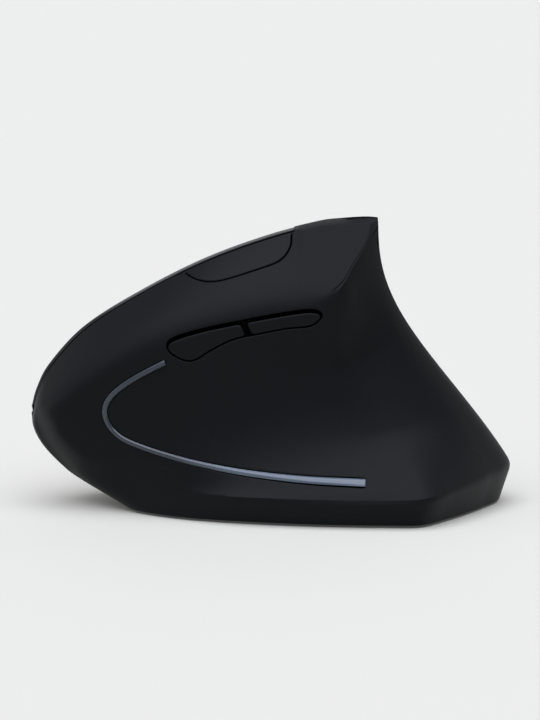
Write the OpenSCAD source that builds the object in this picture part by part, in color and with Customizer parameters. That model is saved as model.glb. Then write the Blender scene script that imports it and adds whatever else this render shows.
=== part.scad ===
// Vertical ergonomic mouse for the right hand, thumb side towards -Y, nose towards -X.
// Millimetres, +Z up, origin on the table under the middle of the case.

/* [Body] */
// Length from the nose to the rear tip
body_length = 120; // [116:1:126]
// Width over the two feet of the case
body_width = 62.8; // [61:0.2:66]
// Height of the ridge above the table
body_height = 73; // [71:0.5:77]
// Wall of the case shells and the keys
wall = 2; // [1.8:0.1:2.2]
// Height of the sharp foot line above the table
foot_height = 7.3; // [6.8:0.1:8]
// Rise of the foot line towards the rear tip
rear_lift = 2.5; // [1.6:0.1:3]
// How far the case edge tucks in under the foot line along the sides
side_inset = 2.9; // [2.4:0.1:3.4]
// How far the case edge is set back under the nose
chin_inset = 9.4; // [7.5:0.1:10]
// Depth of the thumb scoop
scoop_depth = 6; // [5:0.5:7]
// Outward bow of the finger face
face_bulge = 5.6; // [4.8:0.2:6.4]
// Hollow of the rear line seen from the side
rear_hollow = 6.6; // [5.4:0.2:7.4]
// Bow of the nose line under the ridge
nose_round = 2.7; // [1.8:0.1:3.2]

/* [Ridge rim] */
// Drop of the rim edge below the ridge on the thumb side
rim_drop = 1.3; // [1:0.1:1.6]
// Reach of the rim edge over to the thumb side
rim_reach = 1.6; // [1.2:0.1:2]
// Gap round the main keys
key_gap = 0.45; // [0.42:0.02:0.6]
// Gap behind the main keys, close to their hinge
hinge_gap = 0.25; // [0.2:0.05:0.4]
// Gap between the two case shells
seam_gap = 0.3; // [0.2:0.05:0.4]
// Extra gap at the nose that the keys move into
nose_gap = 0.35; // [0.3:0.05:0.5]

/* [Wheel] */
// Radius of the tyre
wheel_radius = 10.5; // [10:0.1:11]
// Width of the tyre
wheel_width = 7; // [6:0.2:7.4]
// How far the wheel stands out of the finger face
wheel_proud = 4; // [3.4:0.1:4.4]
// Radius of the hub under the tyre
hub_radius = 8.2; // [7.6:0.1:8.6]
// Grooves round the tyre
tyre_grooves = 30; // [20:2:40]
// Radius of a tyre groove
groove_radius = 0.45; // [0.3:0.05:0.6]
// Radius of the axle
axle_radius = 1.2; // [1:0.05:1.4]
// Travel of the wheel when it is pressed
wheel_travel = 0.5; // [0.3:0.05:0.6]
// Play round the axle and other turning pins
turning_gap = 0.15; // [0.1:0.05:0.25]

/* [Keys] */
// Radius of the key pivots
pivot_radius = 1.2; // [1:0.1:1.4]
// Length of a key pivot
pivot_length = 11.6; // [11:0.2:13]
// Depth of the pivot axis below the key surface
pivot_depth = 5.6; // [5.2:0.1:6]
// Space left between a pressing stem and its switch at rest
switch_gap = 0.4; // [0.35:0.05:0.6]

/* [Thumb and top buttons] */
// Gap round the buttons
button_gap = 0.35; // [0.3:0.05:0.5]
// Extra shadow gap over the thumb buttons
thumb_lip_gap = 0.7; // [0.4:0.1:0.9]
// Width of the slanted gap between the thumb buttons
thumb_split = 1.6; // [1.2:0.1:2]
// Travel of the thumb and top buttons
button_travel = 0.6; // [0.3:0.05:0.7]
// Radius of a button stem
stem_radius = 1.6; // [1.2:0.1:1.8]
// Width of the accent strip
strip_width = 1.3; // [1:0.1:1.8]
// Gap on each side of the accent strip
strip_gap = 0.12; // [0.1:0.02:0.2]

/* [Base] */
// Height of the glide feet
glide_height = 0.8; // [0.6:0.1:1]
// Thickness of the base plate
base_thickness = 2.2; // [2:0.1:2.4]
// Gap between the base plate and the shells
base_gap = 0.3; // [0.2:0.05:0.5]
// Radius of a screw shank
screw_radius = 1; // [0.8:0.05:1.2]
// Radius of a screw head
screw_head_radius = 2; // [1.8:0.1:2.2]
// Travel of the power slider
slider_travel = 3; // [2:0.25:3.5]

/* [Batteries and receiver] */
// Radius of a cell
cell_radius = 5.25; // [5.1:0.05:5.3]
// Length of a cell
cell_length = 44.5; // [44:0.1:44.8]
// Room left round the cells and the cover
bay_gap = 0.3; // [0.2:0.05:0.4]
// Wall of the battery bay and the receiver bay
bay_wall = 1.4; // [1.2:0.1:1.6]
// Length of the receiver body along the case
receiver_length = 15; // [14:0.5:16]
// Thickness of the receiver body
receiver_thickness = 6.4; // [5.6:0.2:6.8]
// Height of the receiver with its plug
receiver_height = 18.6; // [17:0.2:19]

/* [Inner frame and boards] */
// Thickness of the frame deck and ribs
deck_thickness = 2; // [1.6:0.1:2.4]
// Thickness of the circuit boards
board_thickness = 1.2; // [1:0.1:1.6]
// Height of the main board above the base plate
board_lift = 2.5; // [2.4:0.1:3]

/* [Hidden] */

// The guide points below are drawn for these overall sizes and follow the set ones
drawn_size = [120, 62.8, 73];
scale_up = [body_length / drawn_size.x, body_width / drawn_size.y, body_height / drawn_size.z];
function sized(p) = [p.x * scale_up.x, p.y * scale_up.y, p.z * scale_up.z];

// Guide lines of the body, each from the nose (first station) to the rear (last station)
stations = [0, 0.05, 0.12, 0.22, 0.35, 0.48, 0.61, 0.73, 0.80, 0.87, 0.94, 1];
ridge_points = [
    [-60, 3.2, 23.5], [-58.9, 2.2, 29.3], [-55.8, 1.2, 35.8], [-46.7, 0, 45.4],
    [-32.4, -1.2, 54.7], [-16.5, -2.6, 62.95], [-0.7, -3.6, 68.9], [12.1, -4.1, 72.3],
    [17.3, -4.3, 72.9], [21, -4.4, 73], [24, -4.4, 72.9], [26.1, -4.4, 72.2]
];
crease_points = [
    [-59.4, 3.2, 20.2], [-58.9, -4.2, 21.8], [-54.6, -9.4, 25], [-45.2, -12.2, 32.7],
    [-31.6, -14.4, 42.2], [-16.3, -16, 49.4], [-0.9, -16.6, 53.4], [11.5, -16.6, 55.1],
    [16.8, -14.8, 58.2], [20, -11.6, 63], [23.2, -8, 68], [26.2, -4.4, 69.8]
];
thumb_foot_points = [
    [-48.8, 3.2], [-48.3, -4.6], [-44.2, -10.8], [-34.2, -16.6], [-20.3, -22.6], [-4.2, -27.3],
    [12, -30.3], [28, -31.4], [37.8, -30.6], [45.8, -21.5], [54.3, -8.3], [60, 5]
];
finger_foot_points = [
    [-48.8, 3.2], [-47.5, 10.4], [-42.6, 16.6], [-33.2, 22.3], [-19.5, 27], [-3.6, 30.2],
    [12.5, 31.4], [27.5, 30.8], [36.5, 28.6], [46, 23.6], [55, 15.2], [60, 5]
];
// Inward shift of the rear corner above the thumb foot, so that the corner fades out upwards
rear_ease_points = [
    [0, 0, 0], [0, 0, 0], [0, 0, 0], [0, 0, 0], [0, 0, 0], [0, 0, 0],
    [0, 0.3, 0], [-1.3, 2, 0], [-1, 5, 0], [1.5, 4.5, 0], [2, 2.3, 0], [0, 0, 0]
];
last = len(stations) - 1;
// The case edge starts to move back under the nose from here on
chin_start = -10 * scale_up.x;
tiny = 0.002;

function lerp(a, b, t) = a + (b - a) * t;
function unit(v) = v / norm(v);
function smooth(t) = let (s = min(max(t, 0), 1)) s * s * (3 - 2 * s);
function span_of(u, i = 0) = i >= last - 1 || u < stations[i + 1] ? i : span_of(u, i + 1);
function free_slope(p, i) = let (a = max(i - 1, 0), b = min(i + 1, last))
    (p[b] - p[a]) / (stations[b] - stations[a]);
// A square guide leaves both ends straight along Y, so that the two sides join without a corner
function slope(p, i, square) = let (s = free_slope(p, i))
    square && (i == 0 || i == last) ? [for (k = [0 : len(s) - 1]) k == 1 ? s[k] : 0] : s;
function guide(p, u, square = false) = let (
        i = span_of(u), h = stations[i + 1] - stations[i], t = (u - stations[i]) / h,
        a = t * t * (3 - 2 * t), b = t * (1 - t) * (1 - t), c = t * t * (t - 1))
    lerp(p[i], p[i + 1], a) + h * (slope(p, i, square) * b + slope(p, i + 1, square) * c);

// Lines along the body; side is -1 on the thumb side and 1 on the finger side
function ridge(u) = sized(guide(ridge_points, u));
function crease(u) = sized(guide(crease_points, u));
function foot(side, u) = let (p = guide(side < 0 ? thumb_foot_points : finger_foot_points, u, true))
    [p.x * scale_up.x, p.y * scale_up.y, foot_height + rear_lift * smooth((u - 0.72) / 0.28)];
function inward(side, u) = let (d = foot(side, min(u + tiny, 1)) - foot(side, max(u - tiny, 0)))
    u < tiny / 2 ? [1, 0, 0] : u > 1 - tiny / 2 ? [-1, 0, 0] : unit([side * d.y, -side * d.x, 0]);
function chin(x) = chin_inset * pow(max((chin_start - x) / (chin_start - nose_foot.x), 0), 2);
function inside_foot(side, u, d) = let (p = foot(side, u), n = inward(side, u))
    [p.x + chin(p.x) + n.x * d, p.y + n.y * d];
function edge(side, u) = let (p = inside_foot(side, u, side_inset)) [p.x, p.y, glide_height];
function rim_share(u) = min(1, 0.2 + u / 0.04, 0.2 + (1 - u) / 0.06);
function rim(u) = let (
        d = ridge(min(u + tiny, 1)) - ridge(max(u - tiny, 0)), n = unit([d.z, 0, -d.x]))
    ridge(u) + rim_share(u) * [n.x * rim_drop, -rim_reach, n.z * rim_drop];
nose_foot = foot(-1, 0);
nose_tip = ridge(0);
rear_foot = foot(-1, 1);
peak = ridge(1);
function share(z, a, b) = min(max((z - a) / (b - a), 0), 1);
function rear_line(z) = let (s = share(z, rear_foot.z, peak.z))
    lerp(rear_foot, peak, s) * [[1, 0, 0], [0, 1, 0], [0, 0, 0]]
    + [-rear_hollow * sin(180 * pow(s, 1.6)), 0, z];
function nose_line(z) = let (s = share(z, nose_foot.z, nose_tip.z))
    lerp(nose_foot, nose_tip, s) * [[1, 0, 0], [0, 1, 0], [0, 0, 0]]
    + [-nose_round * sin(180 * s), 0, z];
function end_shift(u, v, nose_top, rear_top) = let (
        a = lerp(nose_foot, nose_top, v), b = lerp(rear_foot, rear_top, v))
    (1 - smooth(u / 0.16)) * (nose_line(a.z) - a) + rear_part(u) * (rear_line(b.z) - b);
function rear_part(u) = smooth((u - 0.7) / 0.3);

// Faces of the body; v runs upwards from 0 to 1
function hollow(u, v) = (1 - rear_part(u)) * scoop_depth * smooth((u - 0.2) / 0.5)
    * sin(180 * pow(v, 0.6));
function rear_ease(u, v) = smooth(v / 0.3) * smooth((1 - v) / 0.4) * sized(guide(rear_ease_points, u));
function scoop(u, v) = lerp(foot(-1, u), crease(u), v) + end_shift(u, v, crease(0), crease(1))
    + [0, hollow(u, v), 0] + rear_ease(u, v);
function facet(u, v) = lerp(crease(u), rim(u), v);
function ridge_normal(u) = let (d = ridge(min(u + tiny, 1)) - ridge(max(u - tiny, 0)))
    unit([-d.z, 0, d.x]);
function facet_normal(u) = unit(cross(
    facet(min(u + tiny, 1), 1) - facet(max(u - tiny, 0), 1), facet(u, 1) - facet(u, 0)));
function lip(u, v) = let (a = rim(u), b = ridge(u), m = [b.x, lerp(a.y, b.y, 0.35), b.z])
    lerp(lerp(a, m, v), lerp(m, b, v), v);
function face(u, v) = let (a = foot(1, u), b = ridge(u), d = b - a, n = unit([0, d.z, -d.y]))
    lerp(a, b, v) + end_shift(u, v, nose_tip, peak)
    + (1 - rear_part(u)) * face_bulge * sin(90 * min(u / 0.3, 1)) * sin(180 * v) * n;

// Columns at which the shells are sampled; the keys end at the notch
notch = 0.665;
front_columns = [
    0, 0.012, 0.03, 0.05, 0.075, 0.1, 0.13, 0.165, 0.2, 0.24, 0.28, 0.32, 0.36, 0.4,
    0.44, 0.48, 0.52, 0.56, 0.6, 0.63
];
rear_columns = [notch, 0.69, 0.72, 0.745, 0.77, 0.79, 0.81, 0.83, 0.855, 0.885, 0.92, 0.95, 0.975, 0.99, 1];
all_columns = concat(front_columns, rear_columns);
key_speed = norm(face(notch + tiny, 0.5) - face(notch - tiny, 0.5)) / (2 * tiny);
key_columns = concat(front_columns, [notch - hinge_gap / key_speed]);
key_split = 0.5;
key_low = 0.16;
function face_length(u) = norm(ridge(u) - foot(1, u));
function half_gap(u) = key_gap / 2 / face_length(u);
function facet_top(u) = 1 - key_gap / norm(rim(u) - crease(u));
function steps(a, b, n) = [for (k = [0 : n]) lerp(a, b, k / n)];
function moved(p, y) = [for (q = p) q + [0, y, 0]];
function key_shift(u) = seam_gap / 2 + nose_gap * max(0, 1 - u / 0.1);

// Clearance of pieces that lie close together, and overrun of a cut past what it cuts
close_gap = 0.1;
over = 1;

// Closed shell of thickness t under a grid of outer points; only the kept cells are made.
// Near a seam the wall leans into the seam plane, so that the two shells never cross there.
seam_columns = 6;
seam_fade = 1.3;
function row_step(g, i, j) = g[i][min(j + 1, len(g[0]) - 1)] - g[i][max(j - 1, 0)];
function grid_normal(g, i, j, turn) =
    unit(turn * cross(g[min(i + 1, len(g) - 1)][j] - g[max(i - 1, 0)][j], row_step(g, i, j)));
function seam_normal(b, at_nose) = at_nose ? unit([-b.z, 0, b.x]) : unit([b.z, 0, -b.x]);
function wall_normal(g, i, j, t, turn, seams) = let (
        nose = i < len(g) / 2, end = nose ? 0 : len(g) - 1, b = row_step(g, i, j),
        near = abs(i - end) < seam_columns && seams[nose ? 0 : 1] && (i == end || b.z > norm(b) / 2),
        w = min(1, abs(g[i][j].y - g[end][j].y) / (seam_fade * t)))
    near ? unit(lerp(seam_normal(b, nose), grid_normal(g, i, j, turn), w)) : grid_normal(g, i, j, turn);
module shell(g, t, turn, keep, seams = [false, false], top_normals = []) {
    nu = len(g);
    nv = len(g[0]);
    normals = [for (i = [0 : nu - 1]) [for (j = [0 : nv - 1])
        j == nv - 1 && len(top_normals) > 0 ? top_normals[i] : wall_normal(g, i, j, t, turn, seams)]];
    outer = [for (i = [0 : nu - 1]) for (j = [0 : nv - 1]) g[i][j]];
    inner = [for (i = [0 : nu - 1]) for (j = [0 : nv - 1]) g[i][j] - t * normals[i][j]];
    k = nu * nv;
    function at(i, j) = i * nv + j;
    function has(i, j) = i >= 0 && j >= 0 && i < nu - 1 && j < nv - 1 && keep[i][j];
    function turned(f) = turn > 0 ? f : [f[0], f[2], f[1]];
    function quad(a, b, c, d) = [turned([a, b, c]), turned([a, c, d])];
    cells = [for (i = [0 : nu - 2]) for (j = [0 : nv - 2]) if (has(i, j)) [i, j]];
    faces = [for (c = cells) let (a = at(c[0], c[1]), b = a + 1, d = a + nv, e = d + 1) each concat(
        quad(a, b, e, d),
        quad(k + a, k + d, k + e, k + b),
        has(c[0] - 1, c[1]) ? [] : quad(a, k + a, k + b, b),
        has(c[0] + 1, c[1]) ? [] : quad(d, e, k + e, k + d),
        has(c[0], c[1] - 1) ? [] : quad(a, d, k + d, k + a),
        has(c[0], c[1] + 1) ? [] : quad(b, k + b, k + e, e))];
    polyhedron(concat(outer, inner), faces, convexity = 8);
}
function whole(g) = [for (i = [0 : len(g) - 2]) [for (j = [0 : len(g[0]) - 2]) true]];

// Outer points of the thumb side: case edge, scoop, facet and lip from below
scoop_rows = 12;
facet_rows = 5;
lip_rows = 3;
crease_row = 1 + scoop_rows;
rim_row = crease_row + facet_rows;
thumb_grid = [for (u = all_columns) moved(concat(
    [edge(-1, u)],
    [for (k = [0 : scoop_rows - 1]) scoop(u, pow(k / scoop_rows, 1.2))],
    [for (v = steps(0, facet_top(u), facet_rows)) facet(u, v)],
    [for (v = steps(0, 1, lip_rows)) lip(u, v)]), -seam_gap / 2)];
function column(u) = [for (i = [0 : len(all_columns) - 1]) if (all_columns[i] >= u) i][0];
function patch(u0, u1, j0, j1) = [for (i = [column(u0) : column(u1)])
    [for (j = [j0 : j1]) thumb_grid[i][j]]];

// Smooth closed outline through a few points
function loop_point(p, i, t) = let (
        n = len(p), a = p[(i + n - 1) % n], b = p[i], c = p[(i + 1) % n], d = p[(i + 2) % n])
    b + 0.5 * t * (c - a + t * (2 * a - 5 * b + 4 * c - d + t * (3 * (b - c) + d - a)));
function loop(p, n) = [for (i = [0 : len(p) - 1]) for (k = [0 : n - 1]) loop_point(p, i, k / n)];

// Places on the body: an origin with three axes, z pointing out of the surface
module placed(o, x, y) {
    z = cross(x, y);
    multmatrix([[x.x, y.x, z.x, o.x], [x.y, y.y, z.y, o.y], [x.z, y.z, z.z, o.z], [0, 0, 0, 1]])
        children();
}
function square_to(v, x) = unit(v - (v * x) * x);

// Key deck: x to the rear, y down the finger face, z out of it, origin in the wheel's middle
wheel_u = 0.33;
wheel_at = face(wheel_u, key_split) + [0, seam_gap / 2, 0];
deck_x = unit(face(wheel_u + 0.05, key_split) - face(wheel_u - 0.05, key_split));
deck_y = square_to(face(wheel_u, key_split - 0.1) - face(wheel_u, key_split + 0.1), deck_x);
deck_z = cross(deck_x, deck_y);
wheel_middle = wheel_at - (wheel_radius - wheel_proud) * deck_z;
function in_deck(p) = let (d = p - wheel_middle) [d * deck_x, d * deck_y, d * deck_z];
module on_deck() placed(wheel_middle, deck_x, deck_y) children();
board_top = -5;
deck_top = board_top - board_thickness;
deck_under = deck_top - deck_thickness;
deck_front = -15.6;
deck_half = 17.6;
board_half = [15.4, 17.2];
// Room round the wheel in the keys, in the deck and in its carrier, lengthwise and sideways
key_slot_room = [0.1, 0.7];
window_room = [-0.3, 0.9];
carrier_room = [0.9, 0.7];
key_slot = [2 * (wheel_radius + key_slot_room.x), wheel_width + 2 * key_slot_room.y];
wheel_window = [2 * (wheel_radius + window_room.x), wheel_width + 2 * window_room.y];
switch_at = [3, 13.2];
switch_size = [12.8, 5.8, 6.5];
switch_nib = 0.5;
switch_nib_radius = 0.9;
key_post_end = board_top + switch_size.z + switch_nib + switch_gap;
key_post_radius = 1.5;
// Share of the key's wall that posts and webs reach into
key_root = 0.5;
carrier_window = [wheel_radius + carrier_room.x, wheel_width / 2 + carrier_room.y];
carrier_rim = [3.6, 2];
carrier_half = carrier_window + carrier_rim;
carrier_height = 2.8;
cheek_radius = 2.6;
guide_x = carrier_window.x + carrier_rim.x / 2;
guide_radius = 0.7;
tact_size = [4.6, 4.6, 2.2];
tact_nib_radius = 1;
tact_nib = 0.7;
wheel_switch_at = [guide_x, 4.2];
wheel_nib = -carrier_height / 2 - wheel_travel - 2 * close_gap - board_top - tact_size.z;
encoder_size = [10, 3, 7];
encoder_low = -4;
axle_grip = 2.4;
axle_ends = [-carrier_half.y, carrier_half.y + axle_grip];
hub_rim = 1.4;
hub_recess = 0.8;
tyre_edge = 0.8;
pivot_u = 0.615;
left_pivot = in_deck(face(pivot_u, 0.7)) - [0, 0, pivot_depth];
right_pivot = in_deck(face(pivot_u, 0.35)) - [0, 0, pivot_depth];
web_size = [2.4, 5];
lug_size = [5.2, 2];
lug_out = (web_size.y + lug_size.y) / 2 + 0.5;
lug_over = 2;
deck_rear = left_pivot.x + 4;

// Upper facet place for the top button: x to the rear, y up the facet, z out
dpi_u = 0.545;
facet_x = unit(rim(dpi_u + 0.03) - rim(dpi_u - 0.03));
facet_y = square_to(rim(dpi_u) - crease(dpi_u), facet_x);
module on_facet() placed(rim(dpi_u) - [0, seam_gap / 2, 0], facet_x, facet_y) children();
dpi_outline = [
    [-14.8, 0.4], [-13.8, -1.9], [-12.3, -3.9], [-10.5, -5.5], [-8.5, -6.5], [-6, -7.1],
    [-3, -7.3], [3.2, -7.2], [6.4, -7.05], [8.5, -6.7], [10.5, -5.65], [12, -4.15], [12.9, -2.6],
    [13.5, -0.8], [13.8, 0.8], [14, 4], [-15, 4]
];
facet_cut = 8;
dpi_stem_at = [0, -5];
dpi_stem_low = -wall - 0.2;
dpi_stem_root = 0.4 * wall;
dpi_stem_radius = 0.9;
slim_tact_size = [4.4, 3, 1.4];
slim_tact_nib = 0.5;
dpi_board_top = dpi_stem_low - button_travel - close_gap - slim_tact_nib - slim_tact_size.z;
dpi_board_size = [10, 6];
dpi_board_at = [0, -6.9];
dpi_bracket_thickness = 1.5;
shelf_top = dpi_board_top - board_thickness;

// Thumb buttons: outlines seen from the side, about a place in the scoop
thumb_place = let (p = scoop(0.55, 0.905)) [p.x, p.z];
thumb_depth = scoop(0.55, 0.905).y - seam_gap / 2;
thumb_tilt = 13.5;
pocket_outline = [
    [-18.9, -4.6], [-17.1, -2.5], [-9.8, -0.1], [-1.6, 1.7], [6.5, 3.3], [14.6, 4.6], [17.9, 4.5],
    [19.4, 3.3], [18.3, 1.3], [15.8, 0.1], [10.6, -0.4], [3.3, -1.8], [-2.5, -3.1], [-8.2, -6],
    [-11.1, -7.9], [-13.9, -8.5], [-17.6, -6.9]
];
split_at = [0.6, -0.2];
split_lean = 25;
// Longer than any outline that it cuts
half_plane = 60;
forward_stem = [-9, -3.3];
back_stem = [10.6, 2];
stem_reach = 1.6;
thumb_stem_end = thumb_depth + wall + stem_reach;
thumb_tact_front = thumb_stem_end + button_travel + close_gap;
thumb_board_front = thumb_tact_front + tact_nib + tact_size.z;
thumb_board_size = [33, 9];
thumb_board_at = [0.8, -0.8];

// Accent strip: centre line over the scoop as places [u, v]
strip_path = [
    [0.383, 0.844], [0.346, 0.851], [0.297, 0.844], [0.25, 0.805], [0.224, 0.72], [0.224, 0.581],
    [0.253, 0.388], [0.313, 0.255], [0.397, 0.16], [0.489, 0.109], [0.586, 0.088], [0.701, 0.074]
];
function open_point(p, s) = let (
        n = len(p) - 1, i = min(floor(s), n - 1), t = s - i, b = p[i], c = p[i + 1],
        a = i > 0 ? p[i - 1] : 2 * b - c, d = i < n - 1 ? p[i + 2] : 2 * c - b)
    b + 0.5 * t * (c - a + t * (2 * a - 5 * b + 4 * c - d + t * (3 * (b - c) + d - a)));
strip_steps = 36;
strip_line = [for (k = [0 : strip_steps])
    let (q = open_point(strip_path, k * (len(strip_path) - 1) / strip_steps), p = scoop(q[0], q[1]))
    [p.x, p.z]];
function strip_side(k) = let (d = unit(strip_line[min(k + 1, strip_steps)] - strip_line[max(k - 1, 0)]))
    [-d.y, d.x];
module strip_outline(w, over) {
    n = strip_steps;
    first = unit(strip_line[0] - strip_line[1]) * over;
    final = unit(strip_line[n] - strip_line[n - 1]) * over;
    polygon(concat(
        [for (k = [0 : n]) strip_line[k] + strip_side(k) * w / 2
            + (k == 0 ? first : k == n ? final : [0, 0])],
        [for (k = [n : -1 : 0]) strip_line[k] - strip_side(k) * w / 2
            + (k == 0 ? first : k == n ? final : [0, 0])]));
}
// Cut through the thumb side of an outline seen from the side
side_cut_from = -5;
side_cut_depth = 30;
module side_cut() translate([0, side_cut_from, 0]) rotate([90, 0, 0])
    linear_extrude(side_cut_depth) children();

// Base
base_bottom = glide_height;
base_top = base_bottom + base_thickness;
base_columns = [for (k = [0 : 24]) k / 24];
base_outline = concat(
    [for (u = base_columns) inside_foot(-1, u, side_inset + wall + base_gap)],
    [for (k = [23 : -1 : 1]) inside_foot(1, base_columns[k], side_inset + wall + base_gap)]);
ear_reach = 5.2;
ear_radius = 3.2;
ear_height = 3.5;
// How much narrower the ear's web is than its boss, on each side
ear_taper = 0.4;
// Where an ear ends in the wall, measured in from the foot line
ear_root = 2.6;
ear_places = [[-1, 0.3], [-1, 0.76], [1, 0.3], [1, 0.84]];
function ear_at(e) = inside_foot(e[0], e[1], side_inset + ear_reach);
screw_head_height = 1.1;
head_recess = 1.2;
screw_pilot = screw_radius + 0.05;
screw_room = 0.2;
// Foot pads: place, length between the round ends, turn
pad_radius = 2.2;
pads = [
    [[-27, -8.6], 4, -24], [[-27.4, 11.8], 4, 24], [[50.5, 4], 10, 90], [[0, -18.5], 14, -6],
    [[-1, 20], 12, 6]
];

// Batteries: two cells side by side along X, put in from below
bay_x = -5.8 * scale_up.x;
cell_room = 2.3;
bay_length = cell_length + 2 * cell_room;
cell_pitch = 2 * cell_radius + 0.7;
cell_cap = [1.9, 1];
bay_half = cell_pitch / 2 + cell_radius + bay_gap;
cover_thickness = 1.4;
cell_z = base_bottom + cover_thickness + bay_gap + cell_radius;
bay_ceiling = cell_z + cell_radius + 0.15;
contact_plate = [7, 8, 0.5];
contact_cone = [3, 1.8];
contact_gap = 0.05;
nail_recess = 6;
nail_radius = 4;

// Receiver bay beside the cells on the finger side
bay_space = 0.9;
leg_radius = 2.4;
leg_gap = 0.2;
frame_legs = [
    ear_at(ear_places[2]) + [0.4, -ear_radius - leg_radius - leg_gap],
    [5.2, bay_half + bay_wall + leg_radius + 2 * leg_gap]
];
receiver_at = [20.3, bay_half + 2 * bay_wall + bay_space + bay_gap + receiver_thickness / 2];
plug_size = [12, 4.5];
receiver_body = 6.6;
receiver_low = base_bottom + close_gap;
plug_root = 0.5;
receiver_top = receiver_low + receiver_height;

// Main board, sensor and power slider
board_under = base_top + board_lift;
board_room = 1.4;
ear_room = 1.2;
sensor_x = -15.9 * scale_up.x;
slider_x = sensor_x - 10.6;
rib_x = [bay_x - 4, bay_x - 1.8];
main_board_x = [sensor_x - 15.1, rib_x[0] - 0.7];
main_board_y = [
    ear_at(ear_places[0]).y + ear_radius + ear_room, frame_legs[0].y - leg_radius - board_room];
lens_window = [8, 7];
// Posts under the board, clear of the lens on both sides
board_post_radius = 1.8;
post_y = lens_window.y / 2 + board_post_radius + 0.5;
board_posts = [for (x = main_board_x + [2.4, -2.1]) for (y = [-post_y, post_y]) [x, y]];
lens_size = [7.2, 6.2];
lens_recess = 0.6;
lens_neck = [2.3, 0.3];
lens_root = 0.5;
lens_hole = lens_neck[0] + 0.3;
chip_size = [10, 9, 2.6];
lamp_radius = 1.5;
lamp_height = 2;
lamp_from_sensor = 7.8;
slider_size = [5, 3.4];
slider_flange = [7, 6];
slider_slot_gap = 0.3;
slider_plate = 0.7;
slider_room = 0.15;
power_size = [6, 3.6];

// Frame feet: one beside a finger-side ear, one beside the battery bay
rib_foot = [-10, 12];
rib_shoulder = 16;
rib_steps = [30, 50, 60];
rib_slant = 2;
leg_bore = 1.5;
deck_root = 0.8;
deck_sink = 0.5;
bracket_post = [6, 12];
bracket_from = -1.5;
far = 200;
thumb_wall = [thumb_board_front + board_thickness, thumb_board_front + board_thickness + deck_thickness];

$fn = 48;

module thumb_shell() {
    g = thumb_grid;
    color("#26282b") {
        difference() {
            shell(g, wall, 1, [for (i = [0 : len(g) - 2]) [for (j = [0 : len(g[0]) - 2])
                i >= len(front_columns) || j < rim_row]],
                [true, true], [for (u = all_columns) ridge_normal(u)]);
            side_cut() thumb_pocket();
            side_cut() strip_outline(strip_width + 2 * strip_gap, strip_gap);
            facet_block() polygon(loop(dpi_outline, 4));
        }
        ears(-1);
    }
}
module finger_shell() {
    rows = [key_low, 0.27, 0.38, 0.5, 0.62, 0.74, 0.86, 0.95, 1];
    g = [for (u = all_columns) moved(concat(
        [edge(1, u), face(u, 0), face(u, key_low / 2), face(u, key_low - half_gap(u))],
        [for (k = [1 : len(rows) - 1]) face(u, rows[k])]), seam_gap / 2)];
    color("#2a2c30") {
        shell(g, wall, -1, [for (i = [0 : len(g) - 2]) [for (j = [0 : len(g[0]) - 2])
            i >= len(front_columns) || j < 3]], [true, true], [for (u = all_columns) ridge_normal(u)]);
        ears(1);
    }
}
// Screw ears inside the foot of a shell, standing on the base plate
module ears(side) {
    for (e = ear_places) if (e[0] == side) {
        p = ear_at(e);
        n = inward(e[0], e[1]);
        reach = side_inset + ear_reach - ear_root;
        difference() {
            translate([p.x, p.y, base_top]) union() {
                cylinder(r = ear_radius, h = ear_height);
                rotate([0, 0, atan2(-n.y, -n.x)]) translate([0, -ear_radius + ear_taper, 0])
                    cube([reach, 2 * (ear_radius - ear_taper), ear_height]);
            }
            translate([p.x, p.y, base_top - over]) cylinder(r = screw_pilot, h = ear_height + 2 * over);
        }
    }
}
module wheel_slot() on_deck() translate([-key_slot.x / 2, -key_slot.y / 2, 0])
    cube([key_slot.x, key_slot.y, 2 * wheel_radius]);
// Post over a switch, and pivot pin on a web, both under a key
module key_underside(pivot, side) {
    on_deck() {
        key_z = in_deck(face(wheel_u + 0.02, side < 0 ? 0.74 : 0.26)).z;
        translate([switch_at.x, side * switch_at.y, key_post_end])
            cylinder(r = key_post_radius, h = key_z - key_root * wall - key_post_end);
        translate(pivot + [0, pivot_length / 2, 0]) rotate([90, 0, 0])
            cylinder(r = pivot_radius, h = pivot_length);
        translate(pivot + [-web_size.x / 2, -web_size.y / 2, 0])
            cube([web_size.x, web_size.y, pivot_depth - key_root * wall]);
    }
}
module left_key() {
    g = [for (u = key_columns) moved(concat(
        [for (v = steps(key_split + half_gap(u), 1, 6)) face(u, v)],
        [for (v = [0.66, 0.33, 0]) lip(u, v)]), key_shift(u))];
    color("#34373b") {
        difference() {
            shell(g, wall, -1,
                [for (i = [0 : len(g) - 2]) [for (j = [0 : len(g[0]) - 2]) i > 0 || j < 6]],
                [true, false], [for (u = key_columns) facet_normal(u)]);
            wheel_slot();
        }
        key_underside(left_pivot, -1);
    }
}
module right_key() {
    g = [for (u = key_columns) moved(
        [for (v = steps(key_low + half_gap(u), key_split - half_gap(u), 5)) face(u, v)], key_shift(u))];
    color("#313438") {
        difference() {
            shell(g, wall, -1, whole(g), [true, false]);
            wheel_slot();
        }
        key_underside(right_pivot, 1);
    }
}
module dpi_button() {
    g = patch(0.4, 0.69, crease_row + 2, rim_row);
    color("#3a3d42") {
        intersection() {
            shell(g, wall, 1, whole(g));
            facet_block() offset(delta = -button_gap) polygon(loop(dpi_outline, 4));
        }
        on_facet() translate([dpi_stem_at.x, dpi_stem_at.y, dpi_stem_low])
            cylinder(r = dpi_stem_radius, h = -dpi_stem_root - dpi_stem_low);
    }
}
module facet_block() on_facet() translate([0, 0, -facet_cut]) linear_extrude(2 * facet_cut) children();
module thumb_pocket() translate(thumb_place) polygon(loop(pocket_outline, 3));
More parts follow.
